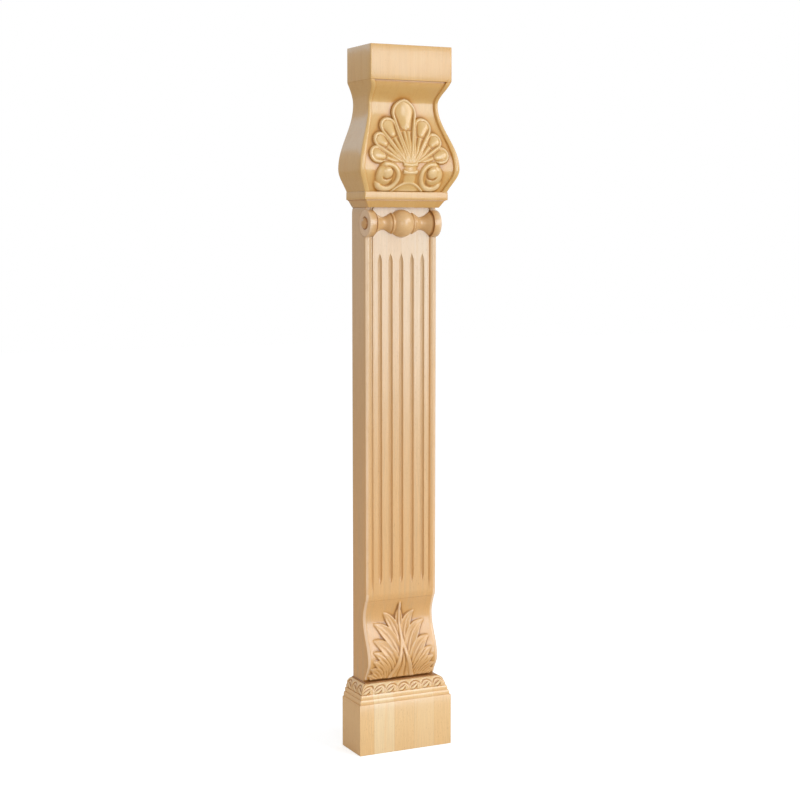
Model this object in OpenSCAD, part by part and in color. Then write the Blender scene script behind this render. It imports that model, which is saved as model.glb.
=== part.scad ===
// Carved wooden pilaster: plinth, fluted shaft with a leaf-carved foot, turned roll and shell capital.
// The front faces -Y, the back is flat, and the origin is the middle of the plinth's underside. Millimetres.

/* [Shaft] */
// Height of the shaft, with its foot
shaft_h = 487.5; // [360:0.5:900]
// Width of the shaft
shaft_w = 80.4; // [60:0.2:120]
// Depth of the shaft, from the flat back to its face
shaft_d = 32.5; // [24:0.5:60]
// Width of the bead along each front edge
bead_w = 7; // [4:0.5:9]
// Fall of the bead from its crown to its edges
bead_fall = 1.3; // [0.5:0.1:2]
// Width of the groove beside the bead
quirk_w = 1.6; // [1:0.1:3]
// Depth of the groove beside the bead
quirk_d = 1.6; // [1:0.1:2.5]

/* [Flutes] */
// Number of flutes
flute_n = 5; // [3:1:5]
// Radius of a flute
flute_r = 2.3; // [1.5:0.1:3]
// Distance from the groove beside the bead to the middle of the first flute
flute_side = 7.6; // [4:0.1:12]
// Length of a flute's pointed end
flute_point = 9; // [4:0.5:16]
// Plain face left between the flutes and the roll
flute_top_gap = 16; // [6:0.5:40]
// Plain face left between the flutes and the foot
flute_low_gap = 9; // [6:0.5:40]

/* [Foot] */
// Height of the curved foot
foot_h = 92; // [70:0.5:130]
// How far the hollow of the foot falls back from the shaft's face
hollow_in = 7.5; // [4:0.5:10]
// How far the swell of the foot stands out from the shaft's face
swell_out = 5.4; // [2:0.2:7]
// How far the bottom of the foot falls back from the shaft's face
toe_in = 3.4; // [1:0.2:6]
// How far the acanthus leaf stands out from the foot
leaf_out = 2.6; // [1:0.1:3]

/* [Plinth] */
// How far the plinth stands out past each side of the shaft
plinth_out = 12.3; // [9:0.1:30]
// How far the plinth stands out in front of the shaft's face
plinth_front = 11.5; // [10:0.1:30]
// Height of the plain part of the plinth
block_h = 53; // [30:0.5:120]
// Height of each of the two plain bands over the block
band_h = 4.6; // [3:0.1:8]
// How far each plain band steps in from what is under it
band_step = 1.5; // [0.8:0.1:2.2]
// Height of the carved quarter-round
ovolo_h = 9.2; // [7:0.1:14]
// Height of the thin fillet on top of the plinth
fillet_h = 1.6; // [1:0.1:3]
// How far the top of the plinth stands out past each side of the shaft
lip_out = 1.2; // [0.5:0.1:3]
// Length of one carved leaf along the quarter-round
leaf_pitch = 13; // [9:0.5:20]
// How far the small leaves stand out
leaf_rise = 1.1; // [0.5:0.1:1.6]

/* [Roll] */
// Radius of the ball in the middle of the roll
ball_r = 14.2; // [11:0.1:17.5]
// Half the length of the ball, up to the small bead beside it
ball_half = 10; // [7:0.1:13]
// Length of the small bead
bead_l = 3; // [2:0.1:5]
// Radius of the two necks
neck_r = 6.6; // [5:0.1:8]
// Radius of the two end buns
bun_r = 13.6; // [10:0.1:16.5]
// Thickness of an end bun
bun_t = 8; // [5:0.1:10]
// Radius of the button on each end
button_r = 5.8; // [4:0.1:7]
// How far the buttons stand out past the sides of the shaft
button_out = 3.4; // [1:0.1:5]
// How far the roll's axis lies behind the shaft's face
roll_sink = 1.4; // [0:0.1:1.4]
// Room between the roll and the capital above it
roll_drop = 1.8; // [1:0.1:6]
// Clearance between the roll and its seat
seat_gap = 0.15; // [0.1:0.05:0.5]

/* [Capital] */
// Height of the bevel under the capital's plain band
bevel_h = 7.5; // [4:0.5:15]
// Height of the plain band under the vase
neck_h = 8; // [5:0.5:15]
// Height of the vase-shaped part
vase_h = 109.5; // [80:0.5:160]
// Height of the square top block
abacus_h = 34.5; // [20:0.5:50]
// How far the bevel and the plain band stand out past each side of the shaft
neck_out = 6.3; // [4:0.1:12]
// How far the plain band stands out in front of the shaft's face
neck_front = 13; // [8:0.1:16]
// How far the belly of the vase stands out past each side of the shaft
belly_out = 15.2; // [10:0.1:25]
// How far the belly of the vase stands out in front of the shaft's face
belly_front = 22; // [16:0.1:28]
// Height of the belly over the bottom of the vase
belly_up = 23; // [16:0.5:32]
// How far the waist of the vase lies inside each side of the shaft
waist_in = 1.5; // [0:0.1:5]
// How far the waist of the vase stands out in front of the shaft's face
waist_front = 5.5; // [3:0.1:9]
// Height left between the waist and the top of the vase
waist_down = 21.5; // [16:0.5:32]
// How far the top block stands out past each side of the shaft
abacus_out = 4.8; // [2:0.1:12]
// How far the top block stands out in front of the shaft's face
abacus_front = 23.5; // [18:0.1:30]
// Width of the raised border round the carved panel
border_w = 5.5; // [3:0.1:8]
// Depth of the panel behind its border
panel_in = 2.4; // [1:0.1:3]
// How far the shell stands out from the panel
shell_out = 3.4; // [2:0.1:3.8]

/* [Hidden] */

// Small lap that joins two solids of one piece
lap = 0.5;
plinth_d = shaft_d + plinth_front;
back_y = plinth_d / 2;
face_y = back_y - shaft_d;
edge_x = shaft_w / 2;
plinth_h = block_h + 2 * band_h + ovolo_h + fillet_h;
shaft_top = plinth_h + shaft_h;
foot_top = plinth_h + foot_h;
vase_bottom = shaft_top + bevel_h + neck_h;
vase_top = vase_bottom + vase_h;
roll_z = shaft_top - roll_drop - max(ball_r, bun_r);
roll_y = face_y + roll_sink;

// ---- Helpers: curves ----

function clamp01(t) = min(max(t, 0), 1);

// Smooth step from 0 to 1, level at both ends
function ease(t) = (1 - cos(180 * clamp01(t))) / 2;

function mix(a, b, t) = a + (b - a) * t;

// Round ridge of unit height: 1 at distance 0, 0 at distance w
function ridge(d, w) = abs(d) < w ? sqrt(1 - pow(d / w, 2)) : 0;

// A curve through stations [height, value], level at each of them
function curve(stations, z, i = 0) =
    z <= stations[0][0] ? stations[0][1]
    : i + 2 > len(stations) ? stations[i][1]
    : z < stations[i + 1][0]
        ? mix(stations[i][1], stations[i + 1][1],
              ease((z - stations[i][0]) / (stations[i + 1][0] - stations[i][0])))
    : curve(stations, z, i + 1);

function dist2(a, b) = norm([a[0] - b[0], a[1] - b[1]]);

// Where along the line a-b the point p lies, from 0 to 1
function along(p, a, b) =
    clamp01(((p[0] - a[0]) * (b[0] - a[0]) + (p[1] - a[1]) * (b[1] - a[1])) / pow(dist2(a, b), 2));

// Point on a quadratic curve from a to c that leans towards b
function bend(a, b, c, t) = mix(mix(a, b, t), mix(b, c, t), t);

// ---- Helpers: solids ----

// A block with its flat back on back_y and stepped sides: steps are [inset, height], from the bottom up
module stepped_block(w, d, steps) {
    side = [for (s = steps) [w / 2 - s[0], s[1]]];
    other = [for (i = [len(steps) - 1:-1:0]) [-w / 2 + steps[i][0], steps[i][1]]];
    front = [for (s = steps) [back_y - d + s[0], s[1]]];
    rear = [[back_y, steps[len(steps) - 1][1]], [back_y, steps[0][1]]];
    intersection() {
        translate([0, back_y, 0]) rotate([90, 0, 0])
            linear_extrude(height = d) polygon(concat(side, other));
        translate([-w / 2, 0, 0]) rotate([90, 0, 90])
            linear_extrude(height = w) polygon(concat(front, rear));
    }
}

// A closed solid between the flat back and a carved front, given as rows of points from the bottom up
module carved_slab(rows) {
    n = len(rows);
    m = len(rows[0]);
    backs = [for (r = rows) for (p = [r[0], r[m - 1]]) [p[0], back_y, p[2]]];
    points = concat([for (r = rows) for (p = r) p], backs);
    b = n * m;
    faces = concat(
        [for (i = [0:n - 2]) for (j = [0:m - 2])
            for (f = [[i * m + j, (i + 1) * m + j, i * m + j + 1],
                      [i * m + j + 1, (i + 1) * m + j, (i + 1) * m + j + 1]]) f],
        [for (i = [0:n - 2])
            for (f = [[b + 2 * i, (i + 1) * m, i * m], [b + 2 * i, b + 2 * i + 2, (i + 1) * m],
                      [b + 2 * i + 1, i * m + m - 1, (i + 1) * m + m - 1],
                      [b + 2 * i + 1, (i + 1) * m + m - 1, b + 2 * i + 3],
                      [b + 2 * i, b + 2 * i + 1, b + 2 * i + 3],
                      [b + 2 * i, b + 2 * i + 3, b + 2 * i + 2]]) f],
        [for (j = [0:m - 2]) [b, j, j + 1]],
        [[b, m - 1, b + 1]],
        [for (j = [0:m - 2]) [b + 2 * n - 2, (n - 1) * m + j + 1, (n - 1) * m + j]],
        [[b + 2 * n - 2, b + 2 * n - 1, n * m - 1]]
    );
    polyhedron(points = points, faces = faces, convexity = 10);
}

// ---- Plinth ----

plinth_w = shaft_w + 2 * plinth_out;
ovolo_low = block_h + 2 * band_h;
ovolo_in = 3 * band_step;
ovolo_out = plinth_out - lip_out;
leaf_rows = 5;
leaf_steps = 8;
// How deep the leaves are rooted in the quarter-round, and how clear their ground lies of it
leaf_root = 2.5;
leaf_clear = 0.02;
// Share of the strip's length and height left plain at each end and edge
strip_end = 0.012;
strip_edge = 0.06;

// Inset and height of the quarter-round, t from 0 at its bottom to 1 at its top
function ovolo(t) = [
    mix(ovolo_out, ovolo_in, cos(90 * t)),
    ovolo_low + ovolo_h * sin(90 * t)
];

// Rise of the small leaves: k counts leaves along the side, t goes up the quarter-round
function leaf_strip(k, t) =
    let (u = abs(2 * (k - floor(k)) - 1), edge = 1 - pow(abs(2 * t - 1), 3), lobe = 0.95 - 0.55 * t)
    leaf_rise * edge * max(ridge(u, lobe) * (0.7 + 0.3 * ridge(u - 0.45, 0.3)), 0.8 * ridge(u - 1, 0.25) * t);

// One carved length of the quarter-round: side 0 is the front, 1 the right side and -1 the left
module leaf_run(side) {
    run = side == 0 ? plinth_w - ovolo_in * 2 : plinth_d - ovolo_in;
    leaves = round(run / leaf_pitch);
    stations = leaves * leaf_steps;
    loop = concat([for (i = [0:leaf_rows]) [i / leaf_rows, 0]], [[1, leaf_root], [0, leaf_root]]);
    m = len(loop);
    points = [for (s = [0:stations]) for (q = loop)
        let (f = mix(strip_end, 1 - strip_end, s / stations), t = mix(strip_edge, 1 - strip_edge, q[0]),
             o = ovolo(t), rise = q[1] > 0 ? -q[1] : leaf_strip(f * leaves, t) + leaf_clear,
             inset = o[0] - rise * cos(90 * t), z = o[1] + rise * sin(90 * t),
             hw = plinth_w / 2 - inset, front = back_y - plinth_d + inset)
        side == 0 ? [mix(-hw, hw, f), front, z] : [side * hw, mix(back_y, front, f), z]];
    last = stations * m;
    faces = concat(
        [for (s = [0:stations - 1]) for (i = [0:m - 1])
            let (j = (i + 1) % m, a = s * m)
            for (f = [[a + i, a + j, a + m + j], [a + i, a + m + j, a + m + i]]) f],
        [for (i = [1:m - 2]) [0, i + 1, i]],
        [for (i = [1:m - 2]) [last, last + i, last + i + 1]]
    );
    polyhedron(points = points, faces = [for (f = faces) side > 0 ? [f[0], f[2], f[1]] : f], convexity = 6);
}

module plinth() {
    arc = 8;
    steps = concat(
        [[0, 0], [0, block_h]],
        [for (i = [1:2]) for (z = [0, band_h]) [i * band_step, block_h + (i - 1) * band_h + z]],
        [for (i = [0:arc]) ovolo(i / arc)],
        [[ovolo_out, plinth_h]]
    );
    color("burlywood") union() {
        stepped_block(plinth_w, plinth_d, steps);
        for (side = [-1, 0, 1]) leaf_run(side);
    }
}

// ---- Shaft ----

groove_x = edge_x - bead_w;
panel_x = groove_x - quirk_w;
flute_pitch = 2 * (panel_x - flute_side) / (flute_n - 1);
// Heights over the plinth where the foot swells and hollows most, as shares of its height
swell_at = 0.23;
hollow_at = 0.71;

// Depth of the foot's front, from the flat back, at height up over the plinth
function foot_depth(up) = curve([
    [0, shaft_d - toe_in],
    [foot_h * swell_at, shaft_d + swell_out],
    [foot_h * hollow_at, shaft_d - hollow_in],
    [foot_h, shaft_d]
], up);

// Half of the leaf is drawn on a sheet this wide and high, which is stretched to the foot
leaf_sheet = [40, 92];
// The leaf's lobes, from the top down: root, bend, tip and half-width
lobes = [
    [[1, 46], [6, 66], [15, 71], 5.2],
    [[1.5, 38], [13, 60], [27, 60], 6.0],
    [[2.5, 31], [17, 48], [31.5, 43], 6.2],
    [[4, 24], [20, 38], [33.5, 29.5], 5.8],
    [[6, 16], [22, 28], [36, 17], 5.6],
    [[9, 8], [22, 16], [37, 6], 5.2]
];
// Heights on the sheet where the middle rib splits in two stems, and where it ends
split = 46;
apex = 82;
// How far apart the stems stand at the bottom
stem_x = 13.5;
lobe_steps = 7;
// Half-width of the middle rib at its foot and at its tip
rib_w = [2.6, 1.4];
// Share of a lobe's width at its ends, and its height in the middle, at its edge and at its root
lobe_end_w = 0.3;
lobe_low = 0.45;
lobe_edge = 0.4;
lobe_root = 0.7;

// Nearest place on a lobe's middle line: [distance, how far along]
function nearest(p, l) =
    let (d = [for (i = [0:lobe_steps]) let (t = i / lobe_steps) [dist2(p, bend(l[0], l[1], l[2], t)), t]],
         low = min([for (q = d) q[0]]))
    [for (q = d) if (q[0] == low) q][0];

// Height of one lobe, hollow in the middle and raised at its edges
function lobe_rise(p, l) =
    let (q = nearest(p, l), w = l[3] * mix(lobe_end_w, 1, sin(180 * mix(0.12, 0.88, q[1]))), d = q[0] / w)
    d < 1 ? leaf_out * (lobe_low + lobe_edge * d) * mix(lobe_root, 1, q[1]) : 0;

// Height of the leaf over the foot at x, up
function acanthus(x, up) =
    let (p = [abs(x) * leaf_sheet[0] / edge_x, up * leaf_sheet[1] / foot_h],
         stem = p[1] < split ? stem_x * pow(1 - p[1] / split, 1.5) : 0,
         rib = p[1] < apex ? leaf_out * ridge(p[0] - stem, mix(rib_w[0], rib_w[1], p[1] / apex)) : 0)
    up <= 0 || up >= foot_h ? 0 : max([rib, for (l = lobes) lobe_rise(p, l)]);

module foot() {
    nx = 36;
    nz = 40;
    carved_slab([for (i = [0:nz]) let (up = mix(0, foot_h + lap, i / nz))
        [for (j = [0:nx]) let (x = mix(-edge_x, edge_x, j / nx), in = up > foot_h ? lap : 0)
            [x, back_y - foot_depth(up) + in - acanthus(x, up), plinth_h + up]]]);
}

// Outline of the fluted part, seen from above
module shaft_outline() {
    arc = 8;
    bead = [for (i = [0:arc]) let (t = 2 * i / arc - 1)
        [groove_x + bead_w * (1 + t) / 2, face_y + bead_fall * t * t]];
    right = concat([[panel_x, face_y], [panel_x + quirk_w / 2, face_y + quirk_d]], bead, [[edge_x, back_y]]);
    left = [for (i = [len(right) - 1:-1:0]) [-right[i][0], right[i][1]]];
    polygon(concat(right, left));
}

// Front view of the fluted part, with its top corners eased
module shaft_front() {
    ease_in = 1.3;
    ease_up = 7;
    arc = 6;
    corner = [for (i = [0:arc]) let (a = 90 * i / arc)
        [edge_x - ease_in * (1 - cos(a)), shaft_top - ease_up * (1 - sin(a))]];
    right = concat([[edge_x, foot_top]], corner);
    left = [for (i = [len(right) - 1:-1:0]) [-right[i][0], right[i][1]]];
    polygon(concat(right, left));
}

// A round-bottomed groove with pointed ends
module flute() {
    low = foot_top + flute_low_gap;
    high = roll_z - ball_r - flute_top_gap;
    translate([0, face_y, 0]) rotate_extrude($fn = 48)
        polygon([[0, low], [flute_r, low + flute_point], [flute_r, high - flute_point], [0, high]]);
}

module shaft() {
    color("navajowhite") difference() {
        union() {
            foot();
            intersection() {
                translate([0, 0, foot_top]) linear_extrude(height = shaft_h - foot_h) shaft_outline();
                translate([0, back_y, 0]) rotate([90, 0, 0])
                    linear_extrude(height = shaft_d) shaft_front();
            }
        }
        for (i = [0:flute_n - 1]) translate([(i - (flute_n - 1) / 2) * flute_pitch, 0, 0]) flute();
        roll_seat();
    }
}

// ---- Roll ----

bun_start = edge_x - bun_t;
cove_start = ball_half + bead_l;
neck_at = mix(cove_start, bun_start, 0.4);
// Half-length of the ellipse that the ball is cut from
ball_oval = 14.5;
bead_r = ball_r * sqrt(1 - pow(ball_half / ball_oval, 2));
bead_rise = 0.6;
flare_r = bun_r - 1.2;
groove_l = 0.9;
groove_r = flare_r - 1.2;
bun_round = 1.3;

// Profile of the roll from its middle to the groove beside the bun, as [radius, distance from the middle]
function spindle(gap) = [for (q = concat(
    [for (i = [0:9]) let (x = ball_half * i / 10) [ball_r * sqrt(1 - pow(x / ball_oval, 2)), x]],
    [for (i = [0:5]) [bead_r + bead_rise * sin(180 * i / 5), ball_half + bead_l * i / 5]],
    [for (i = [1:7]) [mix(bead_r, neck_r, ease(i / 7)), mix(cove_start, neck_at, i / 7)]],
    [for (i = [1:7]) [mix(neck_r, flare_r, 1 - cos(90 * i / 7)), mix(neck_at, bun_start - groove_l, i / 7)]]
)) [q[0] + gap, q[1]]];

// Profile of the bun and its button
bun = concat(
    [[groove_r, bun_start - groove_l], [groove_r, bun_start]],
    [for (end = [0, 1]) for (i = [0:4]) let (a = 90 * (end + i / 4))
        [bun_r - bun_round * (1 - sin(a)), bun_start + end * bun_t + bun_round * (1 - 2 * end - cos(a))]],
    [for (i = [0:5]) [button_r * cos(90 * i / 6), edge_x + button_out * sin(90 * i / 6)]]
);

// A turned solid along the roll's axis, alike at both ends, from half of its profile
module turned(half, tip) {
    back = [for (i = [len(half) - 1:-1:1]) [half[i][0], -half[i][1]]];
    translate([0, roll_y, roll_z]) rotate([0, 90, 0]) rotate_extrude($fn = 72)
        polygon(concat([[0, -tip]], back, half, [[0, tip]]));
}

// The room cut in the shaft for the roll, open through both of the shaft's sides
module roll_seat() {
    tip = edge_x + lap;
    r = bun_r + seat_gap;
    turned(concat(spindle(seat_gap), [[r, bun_start - groove_l], [r, tip]]), tip);
}

module roll() {
    color("tan") turned(concat(spindle(0), bun), edge_x + button_out);
}

// ---- Capital ----

neck_w = shaft_w + 2 * neck_out;
belly_w = shaft_w + 2 * belly_out;
waist_w = shaft_w - 2 * waist_in;
abacus_w = shaft_w + 2 * abacus_out;
waist_up = vase_h - waist_down;
// How far the vase and the bevel lie inside the band and the block that they meet
shadow = 0.8;

// Quick rise of the vase from its bottom to its belly, t from 0 to 1
function bulge(t) = mix(ease(t), sin(90 * t), 0.65);

// Half-width of the vase at height up over its bottom
function vase_half(up) =
    up < belly_up ? mix(neck_w - shadow, belly_w, bulge(up / belly_up)) / 2
    : up < waist_up ? mix(belly_w, waist_w, ease((up - belly_up) / (waist_up - belly_up))) / 2
    : mix(abacus_w, waist_w, sin(90 * (vase_h - up) / waist_down)) / 2;

// Depth of the border's front, from the flat back, at height up over the vase's bottom
function vase_depth(up) = shaft_d + (
    up < belly_up ? mix(neck_front - shadow, belly_front, bulge(up / belly_up))
    : curve([[belly_up, belly_front], [waist_up, waist_front], [vase_h, abacus_front - shadow]], up)
);

// The shell is drawn on a sheet this wide and high, which is stretched to the panel
shell_sheet = [100, 109.5];
// Where the shell's ribs meet, and each petal's head and radius
hub = [0, 30.5];
petals = [[[0, 79], 13.6], [[18.8, 64.5], 9.6], [[29, 51], 8.4], [[35.4, 37], 8.6]];
petal_rim = 2.4;
// Radius of a petal at the hub, the groove round its egg, and the egg's heights at its edge and crown
petal_root = 1.6;
egg_gap = 0.4;
egg_low = 0.35;
egg_high = 0.9;
// The scrolls beside the stem, and the round eye in each
scroll_c = [25.3, 15];
scroll_r = 14.2;
eye_c = [25.3, 17.5];
eye_r = 6;
// Height of the scroll's ground, and the lower ring round its eye: how far out, how wide and how high
scroll_low = 0.3;
eye_ring = [3.4, 1.4, 0.7];
// Half-width of the stem, and the heights of its collars and of the arch under it
stem_half = 7.4;
collars = [18.5, 26];
arch_h = 9;
arch_half = 12.4;
ring_w = 2;
// Half-width of the stem at the hub, its heights at its edge and crown, and the height of the arch
stem_top = 5;
stem_low = 0.5;
stem_high = 0.8;
arch_rise = 0.8;

// Height of one petal: a rim round a hollow that holds a smooth egg
function petal_rise(p, q) =
    let (t = along(p, hub, q[0]), r = mix(petal_root, q[1], t), d = r - dist2(p, mix(hub, q[0], t)))
    d < 0 ? 0
    : d < petal_rim ? shell_out * sqrt(sin(180 * mix(0.08, 0.75, d / petal_rim)))
    : shell_out * mix(egg_low, egg_high, ridge(dist2(p, q[0]), q[1] - petal_rim - egg_gap));

// Height of one scroll: an outer ring that winds in to a round eye
function scroll_rise(p) =
    let (off = dist2(p, scroll_c), eye = dist2(p, eye_c))
    off > scroll_r ? 0
    : shell_out * max(ridge(off - scroll_r + ring_w, ring_w), scroll_low, ridge(eye, eye_r),
                      eye_ring[2] * ridge(eye - eye_r - eye_ring[0], eye_ring[1]));

// Height of the stem between the scrolls, with its two collars and the arch under it
function stem_rise(p) =
    let (half = mix(stem_half, stem_top, clamp01(p[1] / hub[1])),
         arch = arch_h * (1 - pow(p[0] / arch_half, 2)))
    p[1] > hub[1] + 1 ? 0
    : shell_out * max(p[1] > arch_h && p[0] < half ? mix(stem_low, stem_high, ridge(p[0], half)) : 0,
                      p[0] < half + 0.5 ? max([for (z = collars) ridge(p[1] - z, ring_w)]) : 0,
                      arch_rise * ridge(p[1] - arch, ring_w));

// Height of the shell over the panel, fading out where the panel meets the blocks
function shell(x, up) =
    let (p = [abs(x) * shell_sheet[0] / (belly_w - 2 * border_w), up * shell_sheet[1] / vase_h],
         fade = 1.5)
    min(max([0, scroll_rise(p), stem_rise(p), for (q = petals) petal_rise(p, q)]),
        shell_out * min(up, vase_h - up) / fade);

// The vase: its columns follow the border, and the panel lies between them
module vase() {
    nx = 44;
    nz = 50;
    carved_slab([for (i = [0:nz])
        let (z = mix(-lap, vase_h + lap, i / nz), up = min(max(z, 0), vase_h), hw = vase_half(up),
             front = back_y - vase_depth(up))
        [for (j = [0:nx])
            let (s = 2 * j / nx - 1, border = abs(s) > 1 - 3 / nx,
                 x = abs(s) == 1 ? s * hw : (hw - border_w) * s * nx / (nx - 2))
            [x, front + (border ? 0 : panel_in - shell(x, up)), vase_bottom + z]]]);
}

module capital() {
    band_z = shaft_top + bevel_h;
    bevel = [[neck_out, shaft_top], [3 * shadow, band_z - shadow], [2 * shadow, band_z - shadow],
             [2 * shadow, band_z], [0, band_z], [0, vase_bottom]];
    color("wheat") union() {
        stepped_block(neck_w, shaft_d + neck_front, bevel);
        vase();
        translate([-abacus_w / 2, face_y - abacus_front, vase_top])
            cube([abacus_w, shaft_d + abacus_front, abacus_h]);
    }
}

plinth();
shaft();
roll();
capital();
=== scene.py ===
"""Carved wooden pilaster: plinth, fluted shaft with a leaf-carved foot, turned roll and shell capital."""
import math

import bpy
import numpy as np
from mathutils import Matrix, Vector


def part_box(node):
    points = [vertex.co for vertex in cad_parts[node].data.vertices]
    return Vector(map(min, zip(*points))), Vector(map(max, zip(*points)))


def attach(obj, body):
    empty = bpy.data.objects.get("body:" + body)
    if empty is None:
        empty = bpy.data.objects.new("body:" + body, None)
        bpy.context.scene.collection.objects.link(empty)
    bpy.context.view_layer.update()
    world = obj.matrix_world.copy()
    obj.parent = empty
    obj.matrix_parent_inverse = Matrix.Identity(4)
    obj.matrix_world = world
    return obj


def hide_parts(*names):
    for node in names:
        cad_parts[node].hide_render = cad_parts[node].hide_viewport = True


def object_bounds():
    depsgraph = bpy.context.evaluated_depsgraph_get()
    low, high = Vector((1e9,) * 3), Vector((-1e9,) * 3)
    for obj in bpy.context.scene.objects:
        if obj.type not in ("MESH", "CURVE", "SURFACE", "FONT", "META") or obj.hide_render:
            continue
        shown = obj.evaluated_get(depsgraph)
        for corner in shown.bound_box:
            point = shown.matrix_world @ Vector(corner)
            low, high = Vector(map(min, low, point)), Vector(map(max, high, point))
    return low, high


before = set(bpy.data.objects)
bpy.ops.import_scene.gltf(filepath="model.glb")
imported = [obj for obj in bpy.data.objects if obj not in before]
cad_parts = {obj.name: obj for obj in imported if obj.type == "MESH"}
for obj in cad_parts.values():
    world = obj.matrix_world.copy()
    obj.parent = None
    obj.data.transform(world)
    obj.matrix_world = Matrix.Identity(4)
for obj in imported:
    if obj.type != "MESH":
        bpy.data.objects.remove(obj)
cad_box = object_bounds()

MM = 0.001


def node_box(node):
    """Lowest and highest corner of a node, in millimetres."""
    low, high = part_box(node)
    return np.array(low) / MM, np.array(high) / MM


plinth_low, plinth_high = node_box("plinth")
shaft_low, shaft_high = node_box("shaft")
roll_low, roll_high = node_box("roll")
capital_low, capital_high = node_box("capital")
BACK = plinth_high[1]

# ---- Sizes of the carving, in millimetres ----

# Plinth: the block, the two bands over it, the quarter-round and the lip under the shaft
BLOCK_H, BLOCK_ARRIS, BAND_H, BAND_STEP, BAND_BULGE = 53.0, 0.45, 4.6, 1.5, 0.4
OVOLO_H, LIP_OUT = 9.2, 1.2
# Small leaves on the quarter-round: how far up over it they run, and each leaf's width, height and slant
STRIP_GIRTH, LEAF_PITCH, LEAF_RISE, LEAF_SLANT = 12.0, 13.0, 1.35, 0.35
# Shaft
SHAFT_D, BEAD_W, BEAD_FALL, BEAD_SHAPE = 32.5, 7.0, 1.3, 2.2
QUIRK_W, QUIRK_D, LEFT_QUIRK_D, QUIRK_FADE = 1.6, 2.0, 1.3, 24.0
FLUTES, FLUTE_R, FLUTE_PITCH, FLUTE_POINT = 5, 2.3, 12.0, 9.0
FLUTE_TOP_GAP, FLUTE_LOW_GAP = 16.0, 9.0
EASE_IN, EASE_UP = 1.3, 7.0
# Foot: its swell and hollow, with their heights as shares of its own, the crease over it and the rounded toe
FOOT_H, HOLLOW_IN, SWELL_OUT, TOE_IN, LEAF_OUT = 92.0, 7.5, 5.4, 3.4, 2.8
SWELL_AT, HOLLOW_AT = 0.23, 0.71
CREASE, CREASE_STEP, CREASE_FADE = 84.5, 0.5, 22.0
FOOT_ROUND, FOOT_FALL, TOE_GAP, TOE_ROUND = 4.2, 1.7, 2.2, 2.8
# Roll: ball, beads, necks, the grooves beside the buns, buns and the buttons on their ends
BALL_R, BALL_HALF, BALL_OVAL, BEAD_L, BEAD_SINK, BEAD_RISE = 14.2, 10.0, 14.5, 3.0, 0.5, 1.1
NECK_R, FLARE_IN, GROOVE_L, GROOVE_D = 6.6, 1.2, 0.9, 2.0
BUN_R, BUN_T, BUN_ROUND, BUTTON_R, BUTTON_SINK, SEAT_GAP = 13.6, 8.0, 0.5, 5.8, 0.8, 0.03
# Capital: heights, how far its parts stand out at the sides and in front, and the panel with its border
BEVEL_H, NECK_H, VASE_H = 7.5, 8.0, 109.5
NECK_OUT, BELLY_OUT, WAIST_IN, ABACUS_OUT = 6.3, 15.2, 1.5, 4.8
NECK_FRONT, BELLY_FRONT, WAIST_FRONT, ABACUS_FRONT = 13.0, 22.0, 5.5, 23.5
BELLY_UP, WAIST_DOWN, SHADOW = 23.0, 21.5, 0.8
BORDER_W, PANEL_IN, SHELL_OUT = 5.5, 2.7, 4.1
CAPITAL_ARRIS, PANEL_ROUND = 0.5, 1.2
# Softened edges of the shaft and the capital
ARRIS = 0.7
# Spacing of rows and columns where a piece is carved, and how many columns or rows there are
STRIP_CELL, FOOT_CELL, PANEL_CELL = 0.42, 0.45, 0.43
PLINTH_FRONT, PLINTH_SIDE, STRIP_ROWS = 236, 92, 30
PANEL_COLUMNS, PANEL_ROWS = 212, 258

# ---- Stain, wear and painted light: above 0 the wood is darker, by stain and by painted shade; below 0 it is paler, by wear and by painted highlight ----

# Plinth: the small leaves' hollows darker, partly stain and partly painted shade; painted shade in the lines
# between the bands; painted shadow on the lip and on the top under the foot
STRIP_STAIN_AND_SHADE, BAND_PAINTED_SHADE, LIP_PAINTED_SHADOW, FOOT_JOINT_PAINTED_SHADOW = 5.2, 0.5, 0.8, 3.0
# Foot: an even stain, and the paling of the leaf's crests, partly wear and partly painted highlight
FOOT_STAIN, LEAF_WEAR_AND_HIGHLIGHT = 0.1, 0.22
# Painted shadow along the toe where the foot meets the plinth, and how high it reaches
TOE_PAINTED_SHADOW, TOE_SHADOW_H = 2.6, 2.2
# Painted highlight along the front arrises of the foot and of the shaft, and how wide it reaches in
FOOT_PAINTED_HIGHLIGHT, SHAFT_PAINTED_HIGHLIGHT, HIGHLIGHT_W = 1.6, 0.8, 3.0
# Painted shade in the flutes, quirks and towards the beads' edges by their depth, and a painted dark line in
# the right quirk
FLUTE_PAINTED_SHADE, RIGHT_QUIRK_PAINTED_SHADE = 0.09, 2.2
# Roll: painted shade on the necks, paler end faces, painted shade in the groove round each button, and the
# buttons' stain
ROLL_NECK_PAINTED_SHADE, BUN_RUB, BUTTON_GROOVE_PAINTED_SHADE, BUTTON_STAIN = 0.35, 0.9, 1.3, 0.4
# Capital: the panel's stain, painted shade in the crease at the border's foot, and the paling of the shell's
# crests, partly wear and partly painted highlight
PANEL_STAIN, BORDER_PAINTED_SHADE, SHELL_WEAR_AND_HIGHLIGHT = 0.1, 0.55, 0.45
# Painted shade on the panel's top under the abacus and painted shadow at the abacus joint, with how far down
# each reaches
TOP_PANEL_PAINTED_SHADE, TOP_PANEL_SHADE_H, ABACUS_JOINT_PAINTED_SHADOW, ABACUS_SHADOW_H = 0.5, 9.0, 0.8, 2.0
# Painted shade on the fronts of the neck band and abacus to temper the lamps' sheen, on the bevel and in the
# shadow line, and a painted shadow on the abacus's lower arris
FACE_PAINTED_SHADE, BEVEL_PAINTED_SHADE, SHADOW_STAIN, UNDER_ABACUS_PAINTED_SHADOW = 0.42, 0.4, 1.2, 0.7
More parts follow.
